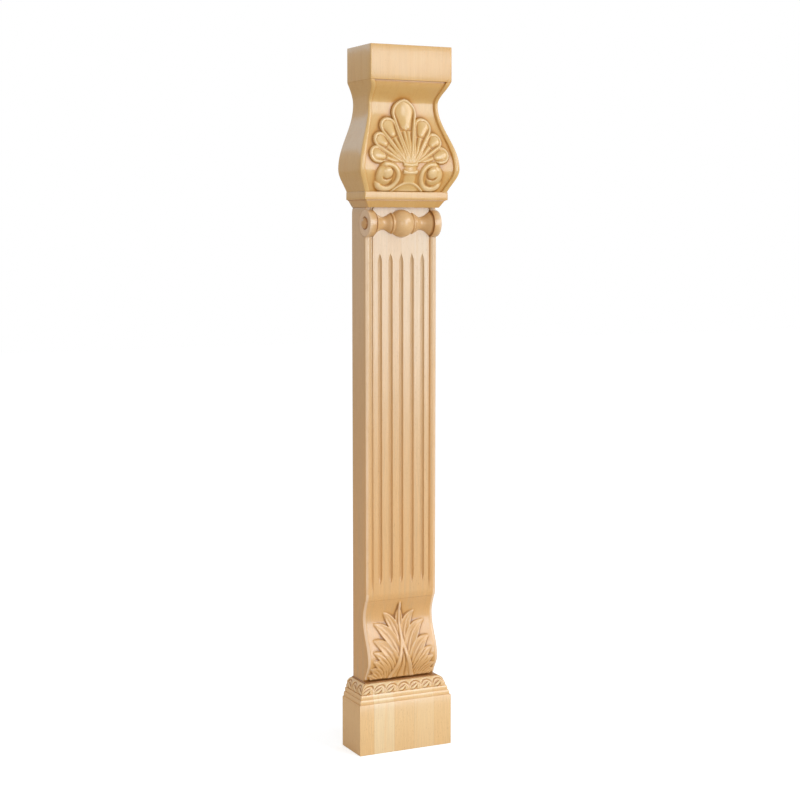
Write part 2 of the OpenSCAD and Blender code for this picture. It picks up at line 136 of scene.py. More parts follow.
# Darkening of the carving in its hollows, partly stain and partly painted shade, against the ground close by
# and further round it: strength and reach
LEAF_NEAR, LEAF_WIDE = (4.6, 1.4), (0.6, 5.0)
SHELL_NEAR, SHELL_WIDE = (1.6, 1.6), (0.9, 4.5)

plinth_top = shaft_low[2]
shaft_top = shaft_high[2]
edge_x = shaft_high[0]
foot_top = plinth_top + FOOT_H
vase_bottom = shaft_top + BEVEL_H + NECK_H
vase_top = vase_bottom + VASE_H
roll_z = (roll_low[2] + roll_high[2]) / 2
roll_y = (roll_low[1] + roll_high[1]) / 2


# ---- Curves ----

def mix(a, b, t):
    return a + (b - a) * t


def ease(t):
    """Smooth step from 0 to 1, level at both ends."""
    return (1 - np.cos(np.pi * np.clip(t, 0, 1))) / 2


def quarter(t):
    """Quick rise that levels off at 1."""
    return np.sin(np.pi / 2 * np.clip(t, 0, 1))


def ridge(d, w):
    """Round ridge of unit height: 1 at distance 0, 0 at distance w."""
    return np.sqrt(np.clip(1 - (d / w) ** 2, 0, 1))


def curve(stations, z):
    """A curve through stations (height, value), level at each of them."""
    at, value = np.array(stations, float).T
    k = np.clip(np.searchsorted(at, z, side="right") - 1, 0, len(at) - 2)
    return mix(value[k], value[k + 1], ease((z - at[k]) / (at[k + 1] - at[k])))


def blur(field, sigma):
    """Gaussian blur of a 2-D field, sigma in cells."""
    reach = max(1, int(3 * sigma))
    taps = np.exp(-0.5 * (np.arange(-reach, reach + 1) / sigma) ** 2)
    taps /= taps.sum()
    for axis in (0, 1):
        pad = [(0, 0), (0, 0)]
        pad[axis] = (reach, reach)
        wide = np.pad(field, pad, mode="edge")
        count = field.shape[axis]
        field = sum(tap * np.take(wide, np.arange(k, k + count), axis) for k, tap in enumerate(taps))
    return field


def recess(field, cell, reach):
    """How deep each place lies under the ground round it, in millimetres; cell is the size of one step."""
    return blur(field, reach / cell) - field


def carved_stain_and_shade(field, cell, near, wide):
    """Darkening of a carved field in its hollows and paling on its crests, partly stain and wear and partly
    painted shade and highlight; near and wide are strength and reach.
    """
    return near[0] * recess(field, cell, near[1]) + wide[0] * recess(field, cell, wide[1])


# ---- Mesh making ----

def new_piece(name, points, faces, hollow=None):
    """A mesh object from points in millimetres; hollow gives each point its darkening, by stain and painted
    shade, and its paling, by wear and painted highlight.
    """
    mesh = bpy.data.meshes.new(name)
    mesh.from_pydata((np.asarray(points, float) * MM).tolist(), [], faces)
    if hollow is not None:
        mask = mesh.attributes.new("recess", "FLOAT", "POINT")
        mask.data.foreach_set("value", np.asarray(hollow, np.float32).ravel())
    piece = bpy.data.objects.new(name, mesh)
    bpy.context.scene.collection.objects.link(piece)
    return piece


def loft(name, rows, hollow):
    """A closed mesh from rows of closed loops, bottom first, with each point's darkening by stain and painted
    shade and paling by wear and painted highlight.
    """
    count, width = rows.shape[:2]
    i, j = np.meshgrid(np.arange(count - 1), np.arange(width), indexing="ij")
    a, b = i * width + j, i * width + (j + 1) % width
    sides = np.stack([a, b, b + width, a + width], -1).reshape(-1, 4).tolist()
    caps = [list(range(width))[::-1], [(count - 1) * width + k for k in range(width)]]
    return new_piece(name, rows.reshape(-1, 3), sides + caps, hollow)


def lathe(name, profile, centre, hollow=None, segments=96):
    """A closed turned mesh along X from (radius, distance along) points; both ends reach the axis.

    hollow gives each point of the profile its darkening by stain and painted shade and its paling by wear and
    painted highlight."""
    profile = np.asarray(profile, float)
    ring = np.arange(segments) * 2 * math.pi / segments
    points = [(centre[0] + x, centre[1] + r * math.cos(a), centre[2] + r * math.sin(a))
              for r, x in profile[1:-1] for a in ring]
    points += [(centre[0] + profile[k][1], centre[1], centre[2]) for k in (0, -1)]
    last = (len(profile) - 3) * segments
    start, end = len(points) - 2, len(points) - 1
    faces = []
    for k in range(segments):
        n = (k + 1) % segments
        faces.append((start, n, k))
        faces.append((end, last + k, last + n))
        for row in range(0, last, segments):
            faces.append((row + k, row + n, row + segments + n, row + segments + k))
    if hollow is not None:
        hollow = np.append(np.repeat(hollow[1:-1], segments), [hollow[0], hollow[-1]])
    return new_piece(name, points, faces, hollow)


def finish_piece(piece, node, material, sharp=38.0):
    """Shades a piece, gives it its wood and ties it to the frame."""
    piece.data.materials.clear()
    piece.data.materials.append(material)
    piece.data.polygons.foreach_set("use_smooth", [True] * len(piece.data.polygons))
    piece.data.set_sharp_from_angle(angle=math.radians(sharp))
    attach(piece, "root")
    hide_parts(node)


def small_arris(size):
    """Three points of a rounded arris: how far in and how far up each lies."""
    return [(size, 0), (0.3 * size, 0.3 * size), (0, size)]


def section(front_x, front_y, half, side_steps=6):
    """One closed loop seen from above: the front from left to right, then round the right side and the back.

    The front's ends meet the sides in softened arrises."""
    y_left, y_right = front_y[0], front_y[-1]
    turn = np.radians(np.arange(30, 91, 30))
    right = [(half - ARRIS * (1 - math.sin(a)), y_right + ARRIS * (1 - math.cos(a))) for a in turn]
    steps = [k / side_steps for k in range(1, side_steps)]
    right += [(half, mix(y_right + ARRIS, BACK - ARRIS / 2, t)) for t in steps]
    right += [(half, BACK - ARRIS / 2), (half - ARRIS / 2, BACK)]
    left = [(-half + ARRIS / 2, BACK), (-half, BACK - ARRIS / 2)]
    left += [(-half, mix(BACK - ARRIS / 2, y_left + ARRIS, t)) for t in steps]
    left += [(-half + ARRIS * (1 - math.sin(a)), y_left + ARRIS * (1 - math.cos(a))) for a in turn[::-1]]
    mid = [(x, BACK) for x in np.linspace(half, -half, 5)[1:-1]]
    return np.array(list(zip(front_x, front_y)) + right + mid + left)


# ---- Plinth ----

def band_profile(k):
    """One of the two rounded bands over the block: inset and height."""
    low = BLOCK_H + (k - 1) * BAND_H
    return [(k * BAND_STEP + BAND_BULGE * t - BAND_BULGE * math.sin(math.pi * t), low + BAND_H * t)
            for t in np.linspace(0.04, 0.98, 9)]


# One small leaf: half-width and height of its arch, half-width of the groove along the arch, and the blade
# and the curl inside, each from its root to its head with the radii of both ends
STRIP_ARCH, STRIP_GROOVE = (6.2, 7.4), 0.17
BLADE = ((-2.4, 0.6), (2.0, 4.0), 1.9, 1.1)
CURL = ((3.9, 0.4), (3.2, 3.0), 1.1, 0.7)
# The dart between two leaves, and heights of the plain ground, the ground in the arch and the curl
DART_HALF, DART_H = 0.9, 5.6
STRIP_GROUND, ARCH_GROUND, CURL_H = 0.62, 0.10, 0.8


def leaf_strip(along, up):
    """Height of the small leaves: along runs on by the pitch, and up is the way up over the quarter-round."""
    x = along % LEAF_PITCH - LEAF_PITCH / 2
    lean = x - LEAF_SLANT * (up - 3)
    r = np.hypot(lean / STRIP_ARCH[0], (up - 0.4) / STRIP_ARCH[1])
    arch = 1 - ridge(r - 1.0, STRIP_GROOVE)
    inner = np.clip((0.9 - r) / 0.2, 0, 1)
    blade, _, _ = drop((lean, up), *BLADE)
    curl, _, _ = drop((lean, up), *CURL)
    leaf = np.maximum(quarter(blade / 1.3), CURL_H * quarter(curl / 0.9))
    side = LEAF_PITCH / 2 - np.abs(x)
    dart = ridge(side, DART_HALF * np.clip((DART_H - up) / 3, 0.01, 1)) * (up < DART_H)
    plain = STRIP_GROUND * arch * (1 - 0.9 * dart)
    return LEAF_RISE * mix(plain, ARCH_GROUND + 0.9 * leaf, inner)


# Places of the plinth's columns along its front and along a side, and how many lie across its back
FRONT_SHARES = np.linspace(0, 1, PLINTH_FRONT + 1)
SIDE_SHARES = np.linspace(0, 1, PLINTH_SIDE + 1)[1:]
BACK_COLUMNS = 4


def plinth_size(inset):
    """Half-width and depth of the plinth at an inset from its block."""
    return plinth_high[0] - inset, BACK - plinth_low[1] - inset


def plinth_loop(inset, height, relief=(0.0, 0.0), slope=0.0):
    """One closed loop of the plinth, and how far each point rises from the plain moulding.

    relief gives the rise along the front and along a side, and slope how far it points up."""
    w, d = plinth_size(inset)
    f, g = FRONT_SHARES, SIDE_SHARES
    front = BACK - d
    rise_f, rise_g = np.broadcast_to(relief[0], f.shape), np.broadcast_to(relief[1], g.shape)
    out, up = math.cos(slope), math.sin(slope)
    across = np.linspace(w, -w, BACK_COLUMNS + 2)[1:-1]
    flat = np.zeros(BACK_COLUMNS)
    rows = [np.stack([mix(-w, w, f), front - rise_f * out, height + rise_f * up], -1),
            np.stack([w + rise_g * out, mix(front, BACK, g), height + rise_g * up], -1),
            np.stack([across, flat + BACK, flat + height], -1),
            np.stack([-w - rise_g[::-1] * out, mix(front, BACK, g[::-1]), height + rise_g[::-1] * up], -1)]
    return np.concatenate(rows), np.concatenate([rise_f, rise_g, flat, rise_g[::-1]])


def strip_loops():
    """Loops of the quarter-round with its leaves; at the corners and at both edges the leaves fade out."""
    ovolo_in, ovolo_out = 3 * BAND_STEP, plinth_high[0] - edge_x - LIP_OUT
    low = BLOCK_H + 2 * BAND_H
    loops = []
    for t in np.linspace(0, 1, STRIP_ROWS):
        slope = t * math.pi / 2
        inset = mix(ovolo_out, ovolo_in, math.cos(slope))
        w, d = plinth_size(inset)
        fade = quarter(min(t, 1 - t) * 9)
        relief = []
        for share, run in ((FRONT_SHARES, 2 * w), (SIDE_SHARES, d)):
            leaves = round(run / LEAF_PITCH)
            corner = quarter(np.minimum(share, 1 - share if run > d else 1) * run / 1.2)
            relief.append(leaf_strip(share * leaves * LEAF_PITCH + 1.0, STRIP_GIRTH * t) * fade * corner)
        loops.append(plinth_loop(inset, low + OVOLO_H * math.sin(slope), relief, slope))
    return loops


def make_plinth(material):
    """The block, its bands, the quarter-round with the leaves and the lip, in one piece."""
    arris = small_arris(BLOCK_ARRIS)
    plain = arris + [(0, BLOCK_H / 2)] + [(i, BLOCK_H - z) for i, z in arris[::-1]]
    plain += band_profile(1) + band_profile(2)
    lip = plinth_high[0] - edge_x - LIP_OUT
    loops = [plinth_loop(i, z) for i, z in plain] + strip_loops()
    loops += [plinth_loop(lip, plinth_top - BLOCK_ARRIS), plinth_loop(lip + BLOCK_ARRIS, plinth_top)]
    rows = np.array([loop for loop, _ in loops])
    rises = np.array([rise for _, rise in loops])
    rows[..., 0] = np.clip(rows[..., 0], plinth_low[0], plinth_high[0])
    rows[..., 1] = np.clip(rows[..., 1], plinth_low[1], BACK)
    hollow = np.zeros_like(rises)
    # The leaves' hollows darker and crests paler, partly stain and wear and partly painted shade and
    # highlight; painted shadow on the lip and on the top under the foot
    hollow[len(plain):] = STRIP_STAIN_AND_SHADE * recess(rises[len(plain):], STRIP_CELL, 1.1)
    hollow[-2] += LIP_PAINTED_SHADOW
    hollow[-1] += FOOT_JOINT_PAINTED_SHADOW
    # Painted shade in the lines between the bands
    for k, (_, z) in enumerate(plain):
        step = min(abs(z - BLOCK_H - j * BAND_H) for j in (0, 1, 2))
        hollow[k] += BAND_PAINTED_SHADE * max(0.0, 1 - step / 0.7)
    finish_piece(loft("plinth_block", rows, hollow), "plinth", material)


# ---- Carved shapes ----

def drop(p, a, b, ra, rb):
    """A drop shape with round ends, ra at a and rb at b.

    Gives the distance in from its edge, and how far along and across its middle line each place lies."""
    axis = np.array(b, float) - a
    length = np.hypot(*axis)
    axis /= length
    dx, dy = p[0] - a[0], p[1] - a[1]
    along = dx * axis[0] + dy * axis[1]
    across = np.abs(dx * axis[1] - dy * axis[0])
    s = (ra - rb) / length
    c = math.sqrt(1 - s * s)
    k = c * along - s * across
    inside = np.where(k < 0, ra - np.hypot(dx, dy),
                      np.where(k > c * length, rb - np.hypot(p[0] - b[0], p[1] - b[1]),
                               ra - (c * across + s * along)))
    return inside, along, across


def bend_line(p, a, b, c, steps=26):
    """Distance to the curve from a to c that leans towards b, and how far along it the nearest point is."""
    t = np.linspace(0, 1, steps + 1)[:, None]
    a, b, c = (np.array(q, float) for q in (a, b, c))
    line = mix(mix(a, b, t), mix(b, c, t), t)
    near = np.full(p[0].shape, np.inf)
    where = np.zeros(p[0].shape)
    for k in range(steps):
        q, r = line[k], line[k + 1]
        d = r - q
        s = np.clip(((p[0] - q[0]) * d[0] + (p[1] - q[1]) * d[1]) / (d @ d), 0, 1)
        dist = np.hypot(p[0] - q[0] - s * d[0], p[1] - q[1] - s * d[1])
        closer = dist < near
        near = np.where(closer, dist, near)
        where = np.where(closer, (k + s) / steps, where)
    return near, where


# ---- Shaft ----

panel_x = edge_x - BEAD_W - QUIRK_W
flute_low = foot_top + FLUTE_LOW_GAP
flute_high = roll_z - BALL_R - FLUTE_TOP_GAP

# Leaf on the foot, its lobes from the top down: root, bend and head over the plinth, half-width, height
LOBES = [
    ((0, 40), (0, 60), (0, 75), 4.4, 1.0),
    ((2.4, 34), (3.6, 58), (16.6, 69), 5.4, 0.95),
    ((4.6, 20), (6.8, 48), (27.2, 58.4), 7.0, 0.98),
    ((8.0, 8), (10.5, 34), (30.4, 42.4), 7.0, 0.95),
    ((12.0, 1), (14.6, 24), (32.4, 31.2), 6.0, 0.98),
    ((17.0, 0), (19.6, 17), (33.6, 22.0), 5.4, 0.95),
    ((22.0, 0), (24.4, 10), (36.0, 14.0), 4.9, 0.98),
    ((27.0, 0), (29.6, 4), (36.6, 6.4), 4.6, 0.94),
]
# Middle rib: where it splits in two and how far out its halves end, its half-width at the bottom and the top,
# and how steep and high it is; then the short flutes between its halves
SPLIT, STEM_X = 46.0, 13.5
RIB_LOW, RIB_TOP, RIB_STEEP, RIB_H = 3.1, 1.2, 1.15, 0.9
FAN_GROUND, FAN_RISE, FAN_TOP = 0.34, 0.30, 40.0
# Tip of the leaf, where it starts and its half-width there
LEAF_TIP, POINT_LOW, POINT_HALF = 82.5, 75.0, 4.6
# One lobe, along it: where its head starts, and how much it is drawn in and falls there
HEAD_AT, HEAD_IN, HEAD_FALL = 0.62, 0.76, 0.42
# One lobe, across it: the bottom of its gouged hollow, the rise to its edge, and the vein along its middle
GOUGE_LOW, GOUGE_RISE, GOUGE_SHAPE = 0.40, 0.52, 2.2
VEIN_H, VEIN_HALF = 0.26, 1.3


def lobe(p, root, bend, head, wide, lift):
    """Height of one lobe: gouged hollow on both sides of its vein, and drawn in towards its head."""
    dist, t = bend_line(p, root, bend, head)
    tip = np.clip((t - HEAD_AT) / (1 - HEAD_AT), 0, 1) ** 1.6
    w = wide * mix(0.5, 1.0, ease(t / 0.5)) * (1 - HEAD_IN * tip)
    d = dist / w
    vein = VEIN_H * ridge(dist, VEIN_HALF) * (1 - 0.5 * tip)
    gouge = GOUGE_LOW + GOUGE_RISE * d ** GOUGE_SHAPE * (1 - 0.6 * tip) + vein
    blade = gouge * mix(0.86, 1.0, ease(t / 0.6)) * (1 - HEAD_FALL * tip) * quarter((1 - d) * w)
    return np.where(d < 1, lift * blade, 0)


def acanthus(x, up):
    """Height of the acanthus leaf over the foot."""
    p = (np.abs(x), up)
    leaf = np.zeros(p[0].shape)
    for root, bend, head, wide, lift in LOBES[::-1]:
        leaf = np.maximum(leaf, lobe(p, root, bend, head, wide, lift))
    point = ridge(p[0], POINT_HALF * np.clip((LEAF_TIP - up) / 10, 0, 1) + 0.01)
    leaf = np.where(up > POINT_LOW, np.minimum(leaf, quarter(2 * point)), leaf)
    stem = np.where(up < SPLIT, STEM_X * np.clip(1 - up / SPLIT, 0, 1) ** 1.5, 0)
    rib = ridge(p[0] - stem, mix(RIB_LOW, RIB_TOP, np.clip(up / LEAF_TIP, 0, 1)))
    rib = np.minimum(RIB_STEEP * rib, RIB_H) * np.clip((LEAF_TIP - 0.5 - up) / 6, 0, 1)
    between = np.clip((stem - 1.6 - p[0]) / 1.2, 0, 1) * np.clip((FAN_TOP - up) / 6, 0, 1)
    fan = FAN_GROUND + FAN_RISE * np.abs(np.cos(1.5 * np.pi * x / np.maximum(stem, 1)))
    return LEAF_OUT * np.maximum.reduce([leaf * (p[0] > stem - 1), rib, fan * between])


def foot_depth(up):
    """Depth of the foot's front from the flat back, before carving."""
    return curve([(0, SHAFT_D - TOE_IN), (FOOT_H * SWELL_AT, SHAFT_D + SWELL_OUT),
                  (FOOT_H * HOLLOW_AT, SHAFT_D - HOLLOW_IN), (FOOT_H, SHAFT_D)], up)


def flute_radius(z):
    """Half-width of a flute: it narrows to a point at both ends."""
    return max(FLUTE_R * float(quarter(min(z - flute_low, flute_high - z) / FLUTE_POINT)), 0.0)


def shaft_columns(r):
    """Places of the front's columns, lined up with the flutes, the quirks and the beads."""
    r = max(r, 0.2)
    bead_x = panel_x + QUIRK_W
    places = [np.linspace(-edge_x + ARRIS, -bead_x, 19), np.linspace(-bead_x, -panel_x, 7)[1:]]
    last = -panel_x
    for k in range(FLUTES):
        middle = (k - (FLUTES - 1) / 2) * FLUTE_PITCH
        places.append(np.linspace(last, middle - r, 13)[1:])
        places.append(middle + r * np.sin(np.radians(np.arange(-75, 91, 15))))
        last = middle + r
    places += [np.linspace(last, panel_x, 13)[1:], np.linspace(panel_x, bead_x, 7)[1:],
               np.linspace(bead_x, edge_x - ARRIS, 19)[1:]]
    return np.concatenate(places)


def in_quirk(a):
    """1 at the middle of a quirk and 0 at both of its edges, from the distance to the shaft's middle."""
    return np.clip(1 - np.abs(2 * (a - panel_x) / QUIRK_W - 1), 0, 1)


def shaft_fall(x, z):
    """How far the fluted front lies behind the face: flutes, quirks and beads.

    The quirks and the inner sides of the beads run out over the foot."""
    a = np.abs(x)
    t = np.clip(2 * (a - panel_x - QUIRK_W) / BEAD_W - 1, -1, 1)
    end = ease((z - plinth_top - CREASE) / QUIRK_FADE)
    bead = np.where(a > panel_x + QUIRK_W, BEAD_FALL * np.abs(t) ** BEAD_SHAPE * np.where(t < 0, end, 1), 0)
    outer = (a > panel_x + QUIRK_W / 2) & (a <= panel_x + QUIRK_W)
    deepest = np.where(x < 0, LEFT_QUIRK_D, QUIRK_D)
    groove = mix(np.where(outer, BEAD_FALL, 0), deepest, np.sqrt(in_quirk(a)))
    r = flute_radius(z)
    flute = np.zeros_like(x)
    for k in range(FLUTES):
        middle = (k - (FLUTES - 1) / 2) * FLUTE_PITCH
        flute = np.maximum(flute, np.sqrt(np.clip(r * r - (x - middle) ** 2, 0, None)))
    return np.maximum(bead, groove * end) + flute


def shaft_heights():
    """Heights of the shaft's rows: close where it is carved, far apart where it is plain."""
    full_low, full_high = flute_low + FLUTE_POINT, flute_high - FLUTE_POINT
    eased = shaft_top - EASE_UP
    spans = [(plinth_top, foot_top - 2, FOOT_CELL), (foot_top - 2, flute_low, 1.2),
             (flute_low, full_low, 0.6), (full_low, full_high, 12), (full_high, flute_high, 0.6),
             (flute_high, eased, 5), (eased, shaft_top, 0.7)]
    z = [np.linspace(a, b, max(2, round((b - a) / s) + 1))[:-1] for a, b, s in spans]
    return np.concatenate(z + [[shaft_top]])


def shaft_grid(heights):
    """Places of all columns for each row: even on the foot, and lined up with the flutes over it."""
    start, reach = foot_top - 14, 12
    even = np.linspace(-edge_x + ARRIS, edge_x - ARRIS, len(shaft_columns(0)))
    return np.array([mix(even, shaft_columns(flute_radius(z)), ease((z - start) / reach)) for z in heights])


def shaft_depths(x, up, heights, leaf):
    """Depth of the shaft's front from the flat back: the carved foot, and the fluted face over its crease."""
    edge = np.clip((np.abs(x) - edge_x + FOOT_ROUND) / FOOT_ROUND, 0, 1) ** 2 * FOOT_FALL
    step = CREASE_STEP * (1 - ease((CREASE - up) / CREASE_FADE))
    gap = TOE_GAP * (1 - ease(up / TOE_ROUND))
    depth = np.zeros_like(x)
    for k, z in enumerate(heights):
        if up[k, 0] < CREASE:
            depth[k] = foot_depth(up[k]) - edge[k] - step[k] + leaf[k] - gap[k]
        else:
            depth[k] = foot_depth(np.minimum(up[k], FOOT_H)) - shaft_fall(x[k], z)
    return depth


def shaft_hollow(x, up, heights, leaf):
    """Stain, painted shade and painted highlight of the shaft's front: the leaf's hollows darker and crests
    paler, partly stain and wear and partly painted shade and highlight; a painted shadow along the toe; a
    painted highlight along the arrises; painted shade in the flutes and the right quirk.
    """
    stain_and_shade = carved_stain_and_shade(leaf, FOOT_CELL, LEAF_NEAR, LEAF_WIDE) + FOOT_STAIN
    stain_and_shade = np.where(stain_and_shade < 0, LEAF_WEAR_AND_HIGHLIGHT * stain_and_shade, stain_and_shade) + TOE_PAINTED_SHADOW * np.clip(1 - up / TOE_SHADOW_H, 0, 1)
    arris_highlight = np.clip((np.abs(x) - edge_x + FOOT_ROUND) / HIGHLIGHT_W, 0, 1)
    quirk_shade = np.where(x > 0, RIGHT_QUIRK_PAINTED_SHADE * in_quirk(np.abs(x)), 0) * ease((up - CREASE) / QUIRK_FADE)
    flute_shade = FLUTE_PAINTED_SHADE * np.array([shaft_fall(line, z) for line, z in zip(x, heights)])
    return np.where(up < FOOT_H, stain_and_shade - FOOT_PAINTED_HIGHLIGHT * arris_highlight, flute_shade - SHAFT_PAINTED_HIGHLIGHT * arris_highlight + quirk_shade)


def cut_seat(shaft):
    """Cuts the roll's seat out of the shaft."""
    seat = lathe("seat", seat_profile(), (0, roll_y, roll_z))
    cut = shaft.modifiers.new("seat", "BOOLEAN")
    cut.operation, cut.solver, cut.object = "DIFFERENCE", "MANIFOLD", seat
    bpy.context.view_layer.update()
    done = bpy.data.meshes.new_from_object(shaft.evaluated_get(bpy.context.evaluated_depsgraph_get()))
    shaft.modifiers.clear()
    shaft.data = done
    bpy.data.objects.remove(seat)


def make_shaft(material):
    """The fluted shaft with its carved foot and the seat for the roll, in one piece."""
    heights = shaft_heights()
    x = shaft_grid(heights)
    up = np.broadcast_to((heights - plinth_top)[:, None], x.shape)
    leaf = blur(acanthus(x, up) * np.clip(up / 0.8, 0, 1), 0.7)
    depth = shaft_depths(x, up, heights, leaf)
    rows = []
    for k, z in enumerate(heights):
        s = np.clip((z - shaft_top + EASE_UP) / EASE_UP, 0, 1)
        half = edge_x - EASE_IN * (1 - math.sqrt(1 - s * s))
        loop = section(x[k] * half / edge_x, BACK - depth[k], half)
        rows.append(np.column_stack([loop, np.full(len(loop), z)]))
    rows = np.array(rows)
    hollow = np.zeros(rows.shape[:2])
    hollow[:, :x.shape[1]] = shaft_hollow(x, up, heights, leaf)
    shaft = loft("fluted_shaft", rows, hollow)
    cut_seat(shaft)
    finish_piece(shaft, "shaft", material)


# ---- Roll ----

bun_start = edge_x - BUN_T


def spindle():
    """Half of the roll from its middle to the groove beside the bun: radius and distance out."""
    cove = BALL_HALF + BEAD_L
    neck = mix(cove, bun_start, 0.4)
    bead_r = BALL_R * math.sqrt(1 - (BALL_HALF / BALL_OVAL) ** 2)
    half = [(BALL_R * math.sqrt(1 - (x / BALL_OVAL) ** 2), x) for x in np.linspace(0, BALL_HALF, 13)]
    half += [(bead_r - BEAD_SINK + BEAD_RISE * math.sin(math.pi * mix(0.15, 0.85, t)),
              BALL_HALF + 0.15 + BEAD_L * t) for t in np.linspace(0, 0.95, 8)]
    half += [(mix(bead_r - 0.6, NECK_R, float(ease(t))), mix(cove, neck, t))
             for t in np.linspace(0.05, 1, 14)]
    flare_r, flare_end = BUN_R - FLARE_IN, bun_start - GROOVE_L
    half += [(mix(NECK_R, flare_r, 1 - math.cos(math.pi / 2 * t)), mix(neck, flare_end, t))
             for t in np.linspace(0.07, 1, 14)]
    return half


def both_halves(half, end):
    """A whole profile from one half and its end on the axis."""
    return [(0, -end)] + [(r, -x) for r, x in half[:0:-1]] + half + [(0, end)]


def seat_profile():
    """The room that the roll needs in the shaft, open through both of its sides."""
    out = edge_x + 2
    room = BUN_R + SEAT_GAP
    half = [(r + SEAT_GAP, x) for r, x in spindle()]
    return both_halves(half + [(room, bun_start - GROOVE_L), (room, out)], out)


# Grooves of the roll darkened, partly stain and partly painted shade: place out from the middle, half-width
# and strength
ROLL_GROOVES = [
    (BALL_HALF + 0.1, 0.9, 0.8),
    (BALL_HALF + BEAD_L, 0.9, 0.9),
    (bun_start - 0.6, 1.3, 1.5),
]


def roll_hollow(r, out):
    """Stain and painted shade of the roll, from the radius and the distance out from its middle: grooves
    darker, partly stain and partly painted shade; painted shade on the necks and round the buttons; paler end
    faces; the buttons' stain.
    """
    hollow = np.maximum.reduce([depth * ridge(out - at, wide) for at, wide, depth in ROLL_GROOVES])
    hollow = np.maximum(hollow, ROLL_NECK_PAINTED_SHADE * np.clip((BALL_R - 2.5 - r) / 3, 0, 1))
    on_end = out > edge_x - 1.2
    hollow = np.where(on_end, -BUN_RUB, hollow)
    hollow = np.where(on_end & (r < BUTTON_R + 0.9), BUTTON_GROOVE_PAINTED_SHADE, hollow)
    return np.where(out > edge_x + 0.9, BUTTON_STAIN, hollow)


def make_roll(material):
    """The turned roll, with a bun and a button at each end."""
    tip = roll_high[0]
    groove_r = BUN_R - GROOVE_D
    half = spindle() + [(groove_r, bun_start - GROOVE_L), (groove_r, bun_start)]
    for end in (0, 1):
        for a in np.radians(90 * (end + np.linspace(0, 1, 6))):
            half.append((BUN_R - BUN_ROUND * (1 - math.sin(a)),
                         bun_start + end * BUN_T + BUN_ROUND * (1 - 2 * end - math.cos(a))))
    button_root = edge_x - BUTTON_SINK
    # The end face and the groove round its button: distance from the button, and depth
    end_face = [(4.7, 0.0), (1.4, 0.0), (0.8, 0.2), (0.3, 0.7)]
    half += [(BUTTON_R + out, edge_x - sink) for out, sink in end_face]
    half += [(BUTTON_R * math.cos(a), button_root + (tip - button_root) * math.sin(a))
             for a in np.radians(np.linspace(4, 84, 9))]
    profile = np.array(both_halves(half, tip))
    hollow = roll_hollow(profile[:, 0], np.abs(profile[:, 1]))
    finish_piece(lathe("turned_roll", profile, (0, roll_y, roll_z), hollow), "roll", material, sharp=42)


# ---- Capital ----

# Height of the middle that the petals spread from
HUB_UP = 31.0
# Petals from the middle out: root, head, radius, height, the egg in each (how far its middle lies from the
# petal's head, half-length, half-width), and how far out its rib lies, as a share of the petal's half-width
PETALS = [
    ((0.0, 30.0), (0.0, 78.2), 13.6, 1.00, (2.4, 14.6, 10.3), 0.24),
    ((4.0, 29.5), (18.8, 64.5), 9.7, 0.95, (0.8, 10.0, 6.8), 0.0),
    ((6.8, 28.8), (29.2, 50.6), 8.7, 0.90, (-0.6, 8.0, 6.0), 0.0),
    ((8.6, 27.6), (35.4, 36.8), 8.7, 0.86, (1.2, 8.2, 5.8), 0.0),
]
# Heights are shares of SHELL_OUT, and those in a petal are shares of its own height
# Petal: radius of its root, half-width of its rim, and heights of the hollow's ground and the rim
ROOT_R, RIM, GROUND, RIM_H = 2.3, 1.6, 0.38, 0.88
# How far the middle petal's head is drawn up to a point
OGEE = 0.7
# Height and half-width of the rib under each egg
PETAL_RIB_H, PETAL_RIB_HALF = 0.40, 2.0
# The egg's narrow end as a share of its half-width, and height and half-width of the ledge under it
EGG_TAIL, LEDGE_H, LEDGE_HALF = 0.62, 0.5, 1.1
# Scroll: middle, radius and half-width of its ring, the dome in it and the eye; then the ring's middle, half
# turn and run-out in degrees, and the heights of the ring, dome, eye and bowl
SCROLL_C, SCROLL_R, SCROLL_RIM = (25.0, 14.8), 12.2, 3.1
DOME_C, DOME_R, DOME_TALL = (27.4, 16.0), 9.8, 1.14
EYE_C, EYE_R = (25.0, 18.6), 5.8
RING_TURN, RING_HALF, RING_FADE = 195, 118, 30
RING_H, DOME_H, EYE_LOW, EYE_H, BOWL_H = 0.86, 0.84, 0.45, 0.59, 0.12
# The groove round the eye: how far out, its half-width, and how deep it cuts the dome
CRESCENT_OUT, CRESCENT_HALF, CRESCENT_CUT = 0.7, 1.2, 0.5
# Stem, its collars, and the arch under it with its rim and field
STEM_HALF, STEM_WAIST, STEM_LOW, STEM_H = 7.8, 0.8, 0.30, 0.44
COLLARS, COLLAR_W, COLLAR_LOW, COLLAR_H = (18.6, 26.4), 2.3, 0.3, 0.68
ARCH_H, ARCH_HALF, ARCH_RIM, ARCH_RIM_H = 8.6, 17.0, 1.9, 0.86
FIELD_LOW, FIELD_H = 0.25, 0.40
# Filling between the stem, the scrolls and the petals' roots
POCKET_H = 0.42
# Where the lowest petals stop: over this height, or further out than this
PETAL_LOW, PETAL_OUT = 29.2, 26.0
# Softening where the petals' roots meet: how wide and how high it reaches, and how soft
HUB_HALF, HUB_TALL, HUB_SOFT = 8.5, 5.5, 2.4


